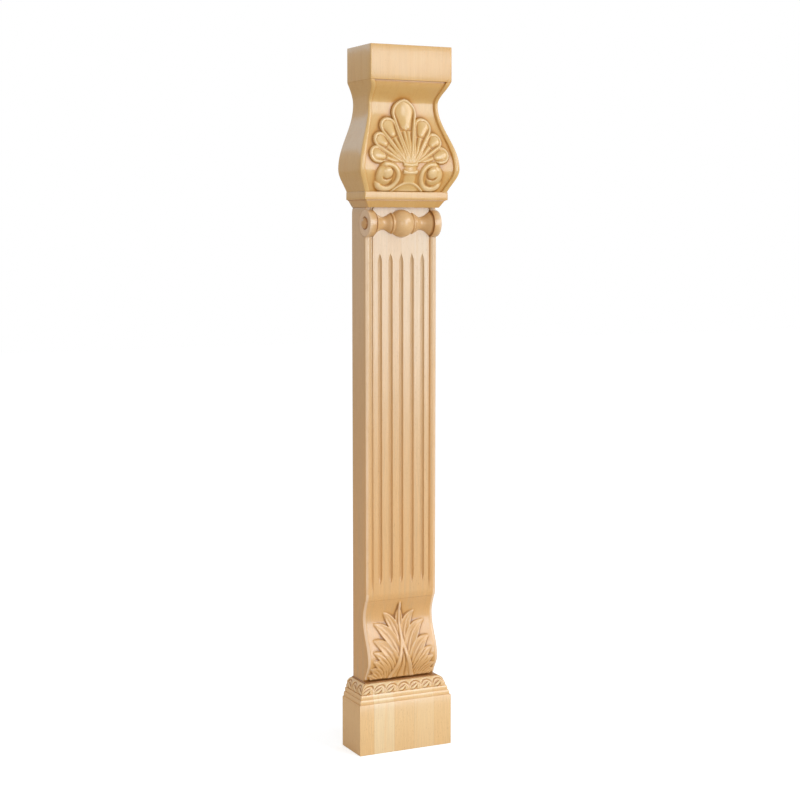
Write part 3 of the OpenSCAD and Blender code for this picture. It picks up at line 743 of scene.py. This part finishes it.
def petal(p, root, head, radius, height, egg, rib_at):
    """Height of one petal, and where it is: a rim round a hollow with a rib and a smooth egg."""
    inside, along, across = drop(p, root, head, ROOT_R, radius)
    off, half_long, half_wide = egg
    length = np.hypot(head[0] - root[0], head[1] - root[1])
    axis = (np.array(head) - root) / length
    tail_r = EGG_TAIL * half_wide
    tail = head - axis * (off + half_long - tail_r)
    top = head - axis * (off - half_long + half_wide)
    in_egg, _, _ = drop(p, tail, top, tail_r, half_wide)
    low_end = length - off - half_long
    local = mix(ROOT_R, radius, np.clip(along / length, 0, 1))
    under = np.clip((low_end - along) / 1.2, 0, 1)
    rib = PETAL_RIB_H * ridge(across - rib_at * local, PETAL_RIB_HALF) * under
    ledge = LEDGE_H * ridge(along - low_end + 1.3, LEDGE_HALF) * (in_egg < 0) * (across < half_wide)
    ground = np.maximum(GROUND + rib, ledge)
    dome = ridge(half_wide - np.clip(in_egg, 0, half_wide), half_wide)
    rim = mix(GROUND, RIM_H, ridge(inside - RIM, RIM))
    shape = np.where(inside < 2 * RIM, rim, np.where(in_egg > 0, mix(GROUND, 1.0, dome), ground))
    return height * shape, inside > 0


def scroll(p):
    """Height of one scroll, and where it is: a ring round a dome with a round eye at its end."""
    out = (p[0] - SCROLL_C[0], p[1] - SCROLL_C[1])
    off = np.hypot(*out)
    turn = np.degrees(np.arctan2(out[1], out[0])) % 360
    closed = 1 - np.clip((np.abs((turn - RING_TURN + 180) % 360 - 180) - RING_HALF) / RING_FADE, 0, 1)
    ring = ridge(off - SCROLL_R, SCROLL_RIM * mix(0.5, 1.0, closed)) * closed
    dome_off = np.hypot(p[0] - DOME_C[0], (p[1] - DOME_C[1]) / DOME_TALL)
    eye_off = np.hypot(p[0] - EYE_C[0], p[1] - EYE_C[1])
    low_side = ease((EYE_C[0] + EYE_C[1] + 4 - p[0] - p[1]) / 7)
    crescent = ridge(eye_off - EYE_R - CRESCENT_OUT, CRESCENT_HALF) * low_side
    dome = DOME_H * ridge(dome_off, DOME_R) * (1 - CRESCENT_CUT * crescent)
    eye = np.where(eye_off < EYE_R, EYE_LOW + EYE_H * ridge(eye_off, EYE_R), 0)
    bowl = np.where(off < SCROLL_R, BOWL_H, 0)
    inside = (off < SCROLL_R + SCROLL_RIM) & (closed > 0.2)
    return np.maximum.reduce([RING_H * ring, dome, eye, bowl]), inside


def stem(p):
    """Height of the stem between the scrolls, with its collars and the domed arch under it."""
    half = STEM_HALF - STEM_WAIST * np.sin(np.pi * np.clip(p[1] / HUB_UP, 0, 1))
    top = np.clip((HUB_UP + 1.5 - p[1]) / 2.5, 0, 1)
    body = np.where(p[0] < half, STEM_LOW + STEM_H * ridge(p[0], half), 0) * top
    rings = np.maximum.reduce([ridge(p[1] - z - 0.02 * p[0] ** 2, COLLAR_W) for z in COLLARS])
    round_over = mix(0.8, 1.0, ridge(p[0], half + 0.6))
    collars = np.where((rings > 0) & (p[0] < half + 0.5), COLLAR_LOW + COLLAR_H * rings * round_over, 0)
    arch_up = ARCH_H * (1 - (p[0] / ARCH_HALF) ** 2)
    arch = ARCH_RIM_H * ridge(p[1] - arch_up, ARCH_RIM)
    under = np.where(p[1] < arch_up, FIELD_LOW + FIELD_H * ridge(p[0], ARCH_HALF - 4), 0)
    body = np.where(p[1] > arch_up, body, 0)
    return np.maximum.reduce([body, collars * (p[1] > arch_up), arch, under])


def shell(x, up):
    """Height of the carved shell over the panel."""
    p = (np.abs(x), up)
    height = np.zeros(x.shape)
    for root, head, radius, rise, egg, rib_at in PETALS[::-1]:
        drawn = OGEE * np.exp(-(p[0] / 5) ** 2) * ease((up - head[1] - 4) / 9) if head[0] == 0 else 0
        shape, inside = petal((p[0], up - drawn), root, head, radius, rise, egg, rib_at)
        height = np.where(inside & ((p[0] > PETAL_OUT) | (up > PETAL_LOW)), shape, height)
    carved, inside = scroll(p)
    height = np.where(inside & (up < HUB_UP), carved, height)
    height = np.maximum(height, np.where(inside, 0, carved))
    pocket = np.clip((SCROLL_C[0] - 4 - p[0]) / 3, 0, 1) * np.clip((HUB_UP + 0.5 - up) / 2, 0, 1)
    height = np.maximum.reduce([height, stem(p), POCKET_H * pocket])
    hub = np.exp(-((p[0] / HUB_HALF) ** 2 + ((up - HUB_UP - 2) / HUB_TALL) ** 2))
    height = mix(height, blur(height, HUB_SOFT), hub)
    fade = np.clip(np.minimum(up + 0.4, VASE_H - up) / 1.2, 0, 1)
    return SHELL_OUT * height * fade


def bulge(t):
    """Rise of the vase from its neck to its belly."""
    return mix(ease(t), quarter(t), 0.65)


def vase_half(up):
    """Half-width of the vase at a height over its bottom."""
    neck, belly = edge_x + NECK_OUT - SHADOW / 2, edge_x + BELLY_OUT
    waist, top = edge_x - WAIST_IN, edge_x + ABACUS_OUT
    waist_up = VASE_H - WAIST_DOWN
    if up < BELLY_UP:
        return mix(neck, belly, float(bulge(up / BELLY_UP)))
    if up < waist_up:
        return mix(belly, waist, float(ease((up - BELLY_UP) / (waist_up - BELLY_UP))))
    return mix(top, waist, float(quarter((VASE_H - up) / WAIST_DOWN)))


def vase_depth(up):
    """Depth of the border's front, from the flat back."""
    if up < BELLY_UP:
        return SHAFT_D + mix(NECK_FRONT - SHADOW, BELLY_FRONT, float(bulge(up / BELLY_UP)))
    return SHAFT_D + float(curve([(BELLY_UP, BELLY_FRONT), (VASE_H - WAIST_DOWN, WAIST_FRONT),
                                  (VASE_H, ABACUS_FRONT - SHADOW)], up))


# Places of the border's columns from the side, on a border of full width
BORDER = np.array([ARRIS, 1.3, 2.0, 2.8, 3.6, 4.3, 4.8, 5.1, 5.35, 5.6, 5.9, 6.3])
WAIST_BORDER, TOP_BORDER = 3.5, 5.0


def border_width(up):
    """Width of the border: it narrows at the waist."""
    return float(curve([(0, BORDER_W), (BELLY_UP, BORDER_W), (VASE_H - WAIST_DOWN, WAIST_BORDER),
                        (VASE_H, TOP_BORDER)], up))


def capital_front(half, width):
    """Places of the front's columns for a half-width and a border width."""
    border = BORDER.copy()
    border[1:] *= width / BORDER_W
    inner = half - border[-1] - 0.4
    return np.concatenate([-half + border, np.linspace(-inner, inner, PANEL_COLUMNS), (half - border)[::-1]])


def capital_loop(half, depth, z, front_stain_and_shade, ring_shade=0.0, x=None, fall=0.0):
    """One closed loop of the capital and its stain and painted shade, on the front and round the rest; fall
    sinks the front.
    """
    x = capital_front(half, BORDER_W) if x is None else x
    loop = section(x, BACK - depth + np.broadcast_to(fall, x.shape), half)
    stain_and_shade = np.full(len(loop), ring_shade)
    stain_and_shade[:len(x)] = front_stain_and_shade
    return np.column_stack([loop, np.full(len(loop), z)]), stain_and_shade


def neck_loops():
    """The bevel over the shaft, a shadow line and the neck's plain band; painted shade on the bevel and in
    the shadow line, and on the band's front to temper the lamps' sheen.
    """
    band = shaft_top + BEVEL_H
    bevel = [(NECK_OUT + CAPITAL_ARRIS, shaft_top), (NECK_OUT, shaft_top + CAPITAL_ARRIS),
             (3 * SHADOW, band - SHADOW)]
    shadow = [(2 * SHADOW, band - SHADOW), (2 * SHADOW, band)]
    arris = small_arris(CAPITAL_ARRIS)
    plain = [(i, band + z) for i, z in arris] + [(i, vase_bottom - z) for i, z in arris[::-1]]
    loops = []
    for places, front, ring in ((bevel, BEVEL_PAINTED_SHADE, BEVEL_PAINTED_SHADE), (shadow, SHADOW_STAIN, SHADOW_STAIN),
                                (plain, FACE_PAINTED_SHADE, 0.0)):
        loops += [capital_loop(edge_x + NECK_OUT - i, SHAFT_D + NECK_FRONT - i, z, front, ring)
                  for i, z in places]
    return loops


def vase_loops():
    """The vase with its raised border and the carved shell."""
    ups = np.linspace(0, VASE_H, PANEL_ROWS)
    widths = np.array([border_width(u) for u in ups])[:, None]
    halves = np.array([vase_half(u) for u in ups])[:, None]
    x = np.array([capital_front(h, w) for h, w in zip(halves[:, 0], widths[:, 0])])
    inset = halves - np.abs(x)
    up = np.broadcast_to(ups[:, None], x.shape)
    crown = 0.5 * np.clip(np.abs(2 * inset / widths - 1), 0, 1) ** 2
    wall = ease((inset - widths + 0.3) / PANEL_ROUND)
    raised = shell(x, up)
    fall = mix(crown, PANEL_IN, wall) - blur(raised, 1.0) * wall
    # The shell's hollows darker and crests paler, partly stain and wear and partly painted shade and
    # highlight; painted shade at the border's foot and on the panel under the abacus; painted shadow at the
    # abacus joint
    stain_and_shade = carved_stain_and_shade(raised, PANEL_CELL, SHELL_NEAR, SHELL_WIDE)
    stain_and_shade += PANEL_STAIN * wall + BORDER_PAINTED_SHADE * ridge(inset - widths - 0.9, 1.0)
    stain_and_shade = np.where(stain_and_shade < 0, SHELL_WEAR_AND_HIGHLIGHT * stain_and_shade, stain_and_shade)
    stain_and_shade += TOP_PANEL_PAINTED_SHADE * np.clip(1 - (VASE_H - up) / TOP_PANEL_SHADE_H, 0, 1) * wall
    stain_and_shade += ABACUS_JOINT_PAINTED_SHADOW * np.clip(1 - (VASE_H - up) / ABACUS_SHADOW_H, 0, 1)
    return [capital_loop(halves[k, 0], vase_depth(u), vase_bottom + u, stain_and_shade[k], 0.0, x[k], fall[k])
            for k, u in enumerate(ups)]


def abacus_loops():
    """The plain block on top; its lower arris carries a painted shadow all round, and its front painted shade
    that tempers the lamps' sheen.
    """
    top = capital_high[2]
    arris = small_arris(CAPITAL_ARRIS)
    places = [(i, vase_top + z) for i, z in arris] + [(0, (vase_top + top) / 2)]
    places += [(i, top - z) for i, z in arris[::-1]]
    shades = [(UNDER_ABACUS_PAINTED_SHADOW, UNDER_ABACUS_PAINTED_SHADOW)] + [(FACE_PAINTED_SHADE, 0.0)] * (len(places) - 1)
    return [capital_loop(edge_x + ABACUS_OUT - i, SHAFT_D + ABACUS_FRONT - i, z, front, ring)
            for (i, z), (front, ring) in zip(places, shades)]


def make_capital(material):
    """The capital from its bevel up to its top block, in one piece."""
    loops = neck_loops() + vase_loops() + abacus_loops()
    rows = np.array([loop for loop, _ in loops])
    hollow = np.array([stain_and_shade for _, stain_and_shade in loops])
    rows[..., 0] = np.clip(rows[..., 0], capital_low[0], capital_high[0])
    finish_piece(loft("shell_capital", rows, hollow), "capital", material)


# ---- Wood ----

def rgb(code):
    """Linear colour from a hexadecimal code."""
    values = [int(code[k:k + 2], 16) / 255 for k in (0, 2, 4)]
    return [v / 12.92 if v <= 0.04045 else ((v + 0.055) / 1.055) ** 2.4 for v in values] + [1.0]


class Nodes:
    """Short hand for adding and joining the nodes of one tree."""

    def __init__(self, tree):
        self.tree = tree

    def add(self, kind, inputs=None, **settings):
        node = self.tree.nodes.new(kind)
        for key, value in settings.items():
            setattr(node, key, value)
        for key, value in (inputs or {}).items():
            self.put(node.inputs[key], value)
        return node

    def put(self, socket, value):
        if isinstance(value, bpy.types.NodeSocket):
            self.tree.links.new(value, socket)
        else:
            socket.default_value = value

    def math(self, operation, a, b=0.0):
        node = self.add("ShaderNodeMath", operation=operation)
        self.put(node.inputs[0], a)
        self.put(node.inputs[1], b)
        return node.outputs[0]

    def vector(self, operation, a, b):
        node = self.add("ShaderNodeVectorMath", operation=operation)
        self.put(node.inputs[0], a)
        self.put(node.inputs[1], b)
        return node.outputs[0]

    def span(self, value, low, high, to_low=0.0, to_high=1.0):
        return self.add("ShaderNodeMapRange", {"Value": value, "From Min": low, "From Max": high,
                                               "To Min": to_low, "To Max": to_high}).outputs["Result"]

    def blend(self, factor, a, b, mode="MIX"):
        node = self.add("ShaderNodeMix", data_type="RGBA", blend_type=mode)
        self.put(node.inputs[0], factor)
        self.put(node.inputs[6], a)
        self.put(node.inputs[7], b)
        return node.outputs[2]

    def noise(self, vector, detail=2.0, rough=0.5):
        return self.add("ShaderNodeTexNoise", {"Vector": vector, "Scale": 1.0, "Detail": detail,
                                               "Roughness": rough}).outputs["Fac"]


def new_group(name, inputs, outputs):
    """A new shader node group with named sockets: the group, its input node and its output node."""
    group = bpy.data.node_groups.new(name, "ShaderNodeTree")
    for label, kind, value in inputs:
        socket = group.interface.new_socket(label, in_out="INPUT", socket_type=kind)
        if value is not None:
            socket.default_value = value
    for label, kind in outputs:
        group.interface.new_socket(label, in_out="OUTPUT", socket_type=kind)
    return group, group.nodes.new("NodeGroupInput"), group.nodes.new("NodeGroupOutput")


def make_stave_group():
    """Boards glued side by side: which board a place is on, its tone, and the line between two boards."""
    group, source, sink = new_group(
        "staves",
        [("Place", "NodeSocketVector", None), ("Board", "NodeSocketFloat", 23.0),
         ("Shift", "NodeSocketFloat", 0.0), ("Seed", "NodeSocketFloat", 0.0)],
        [("Tone", "NodeSocketFloat"), ("Place", "NodeSocketVector"), ("Seam", "NodeSocketFloat")])
    n = Nodes(group)
    split = n.add("ShaderNodeSeparateXYZ", {"Vector": source.outputs["Place"]})
    shifted = n.math("ADD", split.outputs["X"], source.outputs["Shift"])
    across = n.math("DIVIDE", shifted, source.outputs["Board"])
    index = n.math("FLOOR", across)
    seed = n.math("ADD", index, source.outputs["Seed"])
    tone = n.add("ShaderNodeTexWhiteNoise", {"W": seed}, noise_dimensions="1D").outputs["Value"]
    slide = n.add("ShaderNodeCombineXYZ", {"X": n.math("MULTIPLY", seed, 61.7),
                                           "Y": n.math("MULTIPLY", seed, 23.3),
                                           "Z": n.math("MULTIPLY", seed, 147.0)})
    place = n.vector("ADD", source.outputs["Place"], slide.outputs["Vector"])
    share = n.math("ABSOLUTE", n.math("SUBTRACT", n.math("FRACT", across), 0.5))
    seam = n.span(share, 0.488, 0.5)
    n.put(sink.inputs["Tone"], tone)
    n.put(sink.inputs["Place"], place)
    n.put(sink.inputs["Seam"], seam)
    return group


def make_grain_group():
    """Beech grain that runs along Z: slow figure, fine fibre, short dark flecks, and a height for bump."""
    group, source, sink = new_group(
        "beech_grain", [("Place", "NodeSocketVector", None)],
        [("Figure", "NodeSocketFloat"), ("Fibre", "NodeSocketFloat"), ("Fleck", "NodeSocketFloat"),
         ("Height", "NodeSocketFloat")])
    n = Nodes(group)
    place = source.outputs["Place"]
    drift = n.noise(n.vector("MULTIPLY", place, (0.03, 0.03, 0.006)), detail=1.0)
    sway = n.add("ShaderNodeCombineXYZ", {"X": n.math("MULTIPLY", drift, 22.0)})
    swayed = n.vector("ADD", place, sway.outputs["Vector"])
    figure = n.noise(n.vector("MULTIPLY", swayed, (0.22, 0.11, 0.006)), detail=2.5, rough=0.55)
    fibre = n.noise(n.vector("MULTIPLY", swayed, (1.9, 1.9, 0.035)), detail=4.0, rough=0.62)
    fleck_noise = n.noise(n.vector("MULTIPLY", place, (2.6, 2.6, 0.30)), detail=1.0)
    fleck = n.span(fleck_noise, 0.66, 0.74)
    height = n.math("SUBTRACT", n.math("MULTIPLY", fibre, 0.6), n.math("MULTIPLY", fleck, 0.5))
    for label, value in (("Figure", figure), ("Fibre", fibre), ("Fleck", fleck), ("Height", height)):
        n.put(sink.inputs[label], value)
    return group


def make_finish_group():
    """Lacquered finish with painted light: darker where the recess value is above 0, partly stain and partly
    painted shade, and paler below 0, partly rubbed wear and partly painted highlight.
    """
    group, source, sink = new_group(
        "finish_with_painted_light",
        [("Wood", "NodeSocketColor", None), ("Recess", "NodeSocketFloat", 0.0),
         ("Stained Shade", "NodeSocketColor", None), ("Deep Stained Shade", "NodeSocketColor", None),
         ("Rubbed And Highlight", "NodeSocketColor", None), ("Place", "NodeSocketVector", None)],
        [("Color", "NodeSocketColor")])
    n = Nodes(group)
    patch = n.noise(n.vector("MULTIPLY", source.outputs["Place"], (0.09, 0.09, 0.06)), detail=2.0)
    depth = n.math("MULTIPLY", source.outputs["Recess"], n.span(patch, 0.25, 0.75, 0.75, 1.25))
    stained_and_shaded = n.span(depth, 0.05, 1.1)
    deep = n.span(depth, 0.8, 2.2)
    rubbed_and_highlight = n.span(depth, -0.15, -0.9)
    # Stain and painted shade, deeper stain and shade, then paler wear and painted highlight
    color = n.blend(n.math("MULTIPLY", stained_and_shaded, 0.85), source.outputs["Wood"], source.outputs["Stained Shade"])
    color = n.blend(n.math("MULTIPLY", deep, 0.8), color, source.outputs["Deep Stained Shade"])
    color = n.blend(n.math("MULTIPLY", rubbed_and_highlight, 0.6), color, source.outputs["Rubbed And Highlight"])
    n.put(sink.inputs["Color"], color)
    return group


FLECK_COLOR, SEAM_COLOR = "9A6636", "A87B48"


def make_wood(name, groups, pale, amber, stain_and_shade, deep_stain_and_shade, seed, board=23.0, shift=0.0, sheen_fade_tint=None,
              lying=False, rubbed_and_highlight="F4DFB4"):
    """Lacquered beech for one piece; lying turns its grain along X.

    A low tint, strongest and ending at the given heights in millimetres, makes the lower part warmer, so that
    the upper part stays paler as a painted sheen."""
    material = bpy.data.materials.new(name)
    material.use_nodes = True
    n = Nodes(material.node_tree)
    shader = material.node_tree.nodes["Principled BSDF"]
    place = n.vector("MULTIPLY", n.add("ShaderNodeTexCoord").outputs["Object"], (1 / MM, 1 / MM, 1 / MM))
    if lying:
        split = n.add("ShaderNodeSeparateXYZ", {"Vector": place})
        place = n.add("ShaderNodeCombineXYZ", {"X": split.outputs["Z"], "Y": split.outputs["Y"],
                                               "Z": split.outputs["X"]}).outputs["Vector"]
    staves = n.add("ShaderNodeGroup", node_tree=groups["staves"])
    for key, value in (("Place", place), ("Board", board), ("Shift", shift), ("Seed", seed)):
        n.put(staves.inputs[key], value)
    grain = n.add("ShaderNodeGroup", {"Place": staves.outputs["Place"]}, node_tree=groups["grain"])
    tone = n.blend(staves.outputs["Tone"], rgb(pale), rgb(amber))
    # Warmer tint low on the piece, so that the upper part stays paler: painted sheen
    if sheen_fade_tint:
        height = n.add("ShaderNodeSeparateXYZ", {"Vector": n.add("ShaderNodeTexCoord").outputs["Object"]})
        sheen_fade = n.span(height.outputs["Z"], sheen_fade_tint[1] * MM, sheen_fade_tint[2] * MM, 0.9, 0.0)
        tone = n.blend(sheen_fade, tone, rgb(sheen_fade_tint[0]))
    figure = n.span(grain.outputs["Figure"], 0.3, 0.7, -1.0, 1.0)
    wood = n.blend(n.math("MULTIPLY", n.math("MAXIMUM", figure, 0.0), 0.55), tone, rgb(amber))
    fibre = n.span(grain.outputs["Fibre"], 0.35, 0.68, 0.93, 1.05)
    streak = n.add("ShaderNodeCombineColor", {"Red": fibre, "Green": fibre, "Blue": fibre}).outputs["Color"]
    wood = n.blend(1.0, wood, streak, "MULTIPLY")
    wood = n.blend(n.math("MULTIPLY", grain.outputs["Fleck"], 0.35), wood, rgb(FLECK_COLOR))
    wood = n.blend(n.math("MULTIPLY", staves.outputs["Seam"], 0.25), wood, rgb(SEAM_COLOR))
    recess_depth = n.add("ShaderNodeAttribute", attribute_name="recess").outputs["Fac"]
    finish = n.add("ShaderNodeGroup", {"Wood": wood, "Recess": recess_depth, "Stained Shade": rgb(stain_and_shade),
                                       "Deep Stained Shade": rgb(deep_stain_and_shade), "Rubbed And Highlight": rgb(rubbed_and_highlight), "Place": place},
                   node_tree=groups["finish"])
    n.put(shader.inputs["Base Color"], finish.outputs["Color"])
    smooth = n.noise(n.vector("MULTIPLY", place, (0.06, 0.06, 0.03)), detail=2.0)
    dull = n.math("MULTIPLY", grain.outputs["Fleck"], 0.12)
    n.put(shader.inputs["Roughness"], n.math("ADD", n.span(smooth, 0.3, 0.7, 0.40, 0.50), dull))
    ripple = n.noise(n.vector("MULTIPLY", place, (0.16, 0.16, 0.05)), detail=1.0)
    fibres = n.math("MULTIPLY", grain.outputs["Height"], 0.035)
    relief = n.math("ADD", fibres, n.math("MULTIPLY", ripple, 0.22))
    bump = n.add("ShaderNodeBump", {"Height": relief, "Distance": MM, "Strength": 0.6})
    n.put(shader.inputs["Normal"], bump.outputs["Normal"])
    shader.inputs["Coat Weight"].default_value = 1.0
    shader.inputs["Coat Roughness"].default_value = 0.2
    shader.inputs["IOR"].default_value = 1.45
    return material


# ---- Stage ----

def show_and_light(n, seen, light, output):
    """Joins two shaders: what is seen, and what lights the work."""
    both = n.add("ShaderNodeMixShader")
    n.put(both.inputs[0], n.add("ShaderNodeLightPath").outputs["Is Camera Ray"])
    n.put(both.inputs[1], light.outputs[0])
    n.put(both.inputs[2], seen.outputs[0])
    n.put(n.add(output).inputs["Surface"], both.outputs[0])


def make_floor():
    """A pale floor that runs on into the white surroundings, with soft shadows under the work."""
    reach = 6.0
    mesh = bpy.data.meshes.new("floor")
    floor_z = cad_box[0][2]
    mesh.from_pydata([(-reach, -reach, floor_z), (reach, -reach, floor_z), (reach, reach, floor_z),
                      (-reach, reach, floor_z)], [], [(0, 1, 2, 3)])
    floor = bpy.data.objects.new("floor", mesh)
    bpy.context.scene.collection.objects.link(floor)
    paint = bpy.data.materials.new("floor_paint")
    paint.use_nodes = True
    paint.node_tree.nodes.clear()
    n = Nodes(paint.node_tree)
    bounce = n.add("ShaderNodeBsdfDiffuse", {"Color": (0.76, 0.68, 0.58, 1)})
    white = n.add("ShaderNodeBsdfDiffuse", {"Color": (0.75, 0.86, 0.97, 1)})
    glow = n.add("ShaderNodeEmission", {"Color": (1, 1, 1, 1), "Strength": 0.54})
    seen = n.add("ShaderNodeAddShader")
    n.put(seen.inputs[0], white.outputs[0])
    n.put(seen.inputs[1], glow.outputs[0])
    show_and_light(n, seen, bounce, "ShaderNodeOutputMaterial")
    mesh.materials.append(paint)


def make_world():
    """White surroundings: seen at full white, and lighting the work with a soft warm fill."""
    world = bpy.data.worlds.new("studio")
    bpy.context.scene.world = world
    world.use_nodes = True
    n = Nodes(world.node_tree)
    world.node_tree.nodes.clear()
    seen = n.add("ShaderNodeBackground", {"Color": (1, 1, 1, 1), "Strength": 1.0})
    fill = n.add("ShaderNodeBackground", {"Color": (1.0, 0.87, 0.77, 1), "Strength": 0.62})
    show_and_light(n, seen, fill, "ShaderNodeOutputWorld")


def around(centre, azimuth, elevation, distance):
    """A place seen from centre at an azimuth from the front and an elevation, in degrees."""
    a, e = math.radians(azimuth), math.radians(elevation)
    return centre + distance * Vector((math.sin(a) * math.cos(e), -math.cos(a) * math.cos(e), math.sin(e)))


def make_softbox(name, place, aim, size, power, tint):
    """A soft lamp at a place, turned to aim; width and height in metres, power in watts."""
    lamp = bpy.data.lights.new(name, "AREA")
    lamp.shape, lamp.size, lamp.size_y = "RECTANGLE", size[0], size[1]
    lamp.energy, lamp.color = power, tint
    box = bpy.data.objects.new(name, lamp)
    box.location = place
    box.rotation_euler = (aim - place).to_track_quat("-Z", "Y").to_euler()
    bpy.context.scene.collection.objects.link(box)


# Camera: its aim from the middle of the work, then azimuth, elevation and distance, and the lens in mm
AIM_OFF = Vector((0.0008, 0, 0.0041))
VIEW = (-26.06, 5.64, 1.7144)
LENS, SENSOR = 75.1, 36


def make_camera(centre):
    """The camera, turned to the middle of the work."""
    lens = bpy.data.cameras.new("view")
    lens.lens, lens.sensor_width = LENS, SENSOR
    camera = bpy.data.objects.new("view", lens)
    aim = centre + AIM_OFF
    camera.location = around(aim, *VIEW)
    camera.rotation_euler = (aim - camera.location).to_track_quat("-Z", "Y").to_euler()
    bpy.context.scene.collection.objects.link(camera)
    bpy.context.scene.camera = camera


# Lamps: azimuth and elevation in degrees, distance and size in metres, power in watts, and tint
LAMPS = [
    ("key", (50, 24, 3.6), (1.4, 1.4), 28, (1.0, 1.0, 1.0)),
    ("sheen", (24, 13, 2.2), (0.6, 1.4), 14.5, (0.74, 0.87, 1.0)),
    ("edge_light", (-12, 5, 2.2), (0.3, 1.2), 4.8, (0.96, 0.97, 1.0)),
    ("side_glow", (-152, 30, 2.2), (0.9, 0.6), 1.8, (0.35, 0.7, 1.0)),
]

centre = (cad_box[0] + cad_box[1]) / 2
make_camera(centre)
make_world()
make_floor()
for name, place, size, power, tint in LAMPS:
    make_softbox(name, around(centre, *place), centre, size, power, tint)

groups = {"staves": make_stave_group(), "grain": make_grain_group(), "finish": make_finish_group()}
plinth_wood = make_wood("plinth_wood", groups, pale="F6E1B6", amber="F0CD95", stain_and_shade="CA904A",
                        deep_stain_and_shade="8A5826", seed=3084.0, shift=13.3)
# The shaft's low tint leaves its upper part paler as a painted sheen, and its pale pinkish rubbed colour
# makes a painted highlight on its arrises
shaft_wood = make_wood("shaft_wood", groups, pale="D8C4A4", amber="D2B284", stain_and_shade="CF9A4C",
                       deep_stain_and_shade="935F28", seed=11.0, board=15.0, sheen_fade_tint=("E4B676", 150, 560),
                       rubbed_and_highlight="FBE8D0")
roll_wood = make_wood("roll_wood", groups, pale="E2C090", amber="D8B27A", stain_and_shade="BE8846",
                      deep_stain_and_shade="7F4F26", seed=5.0, board=200.0, shift=100.0, lying=True, rubbed_and_highlight="EAD6BC")
capital_wood = make_wood("capital_wood", groups, pale="DCBC7C", amber="D6AE68", stain_and_shade="CE9642",
                         deep_stain_and_shade="A67432", seed=23.0, shift=11.5)

make_plinth(plinth_wood)
make_shaft(shaft_wood)
make_roll(roll_wood)
make_capital(capital_wood)

bpy.context.scene.view_settings.view_transform = "Standard"
bpy.context.view_layer.update()
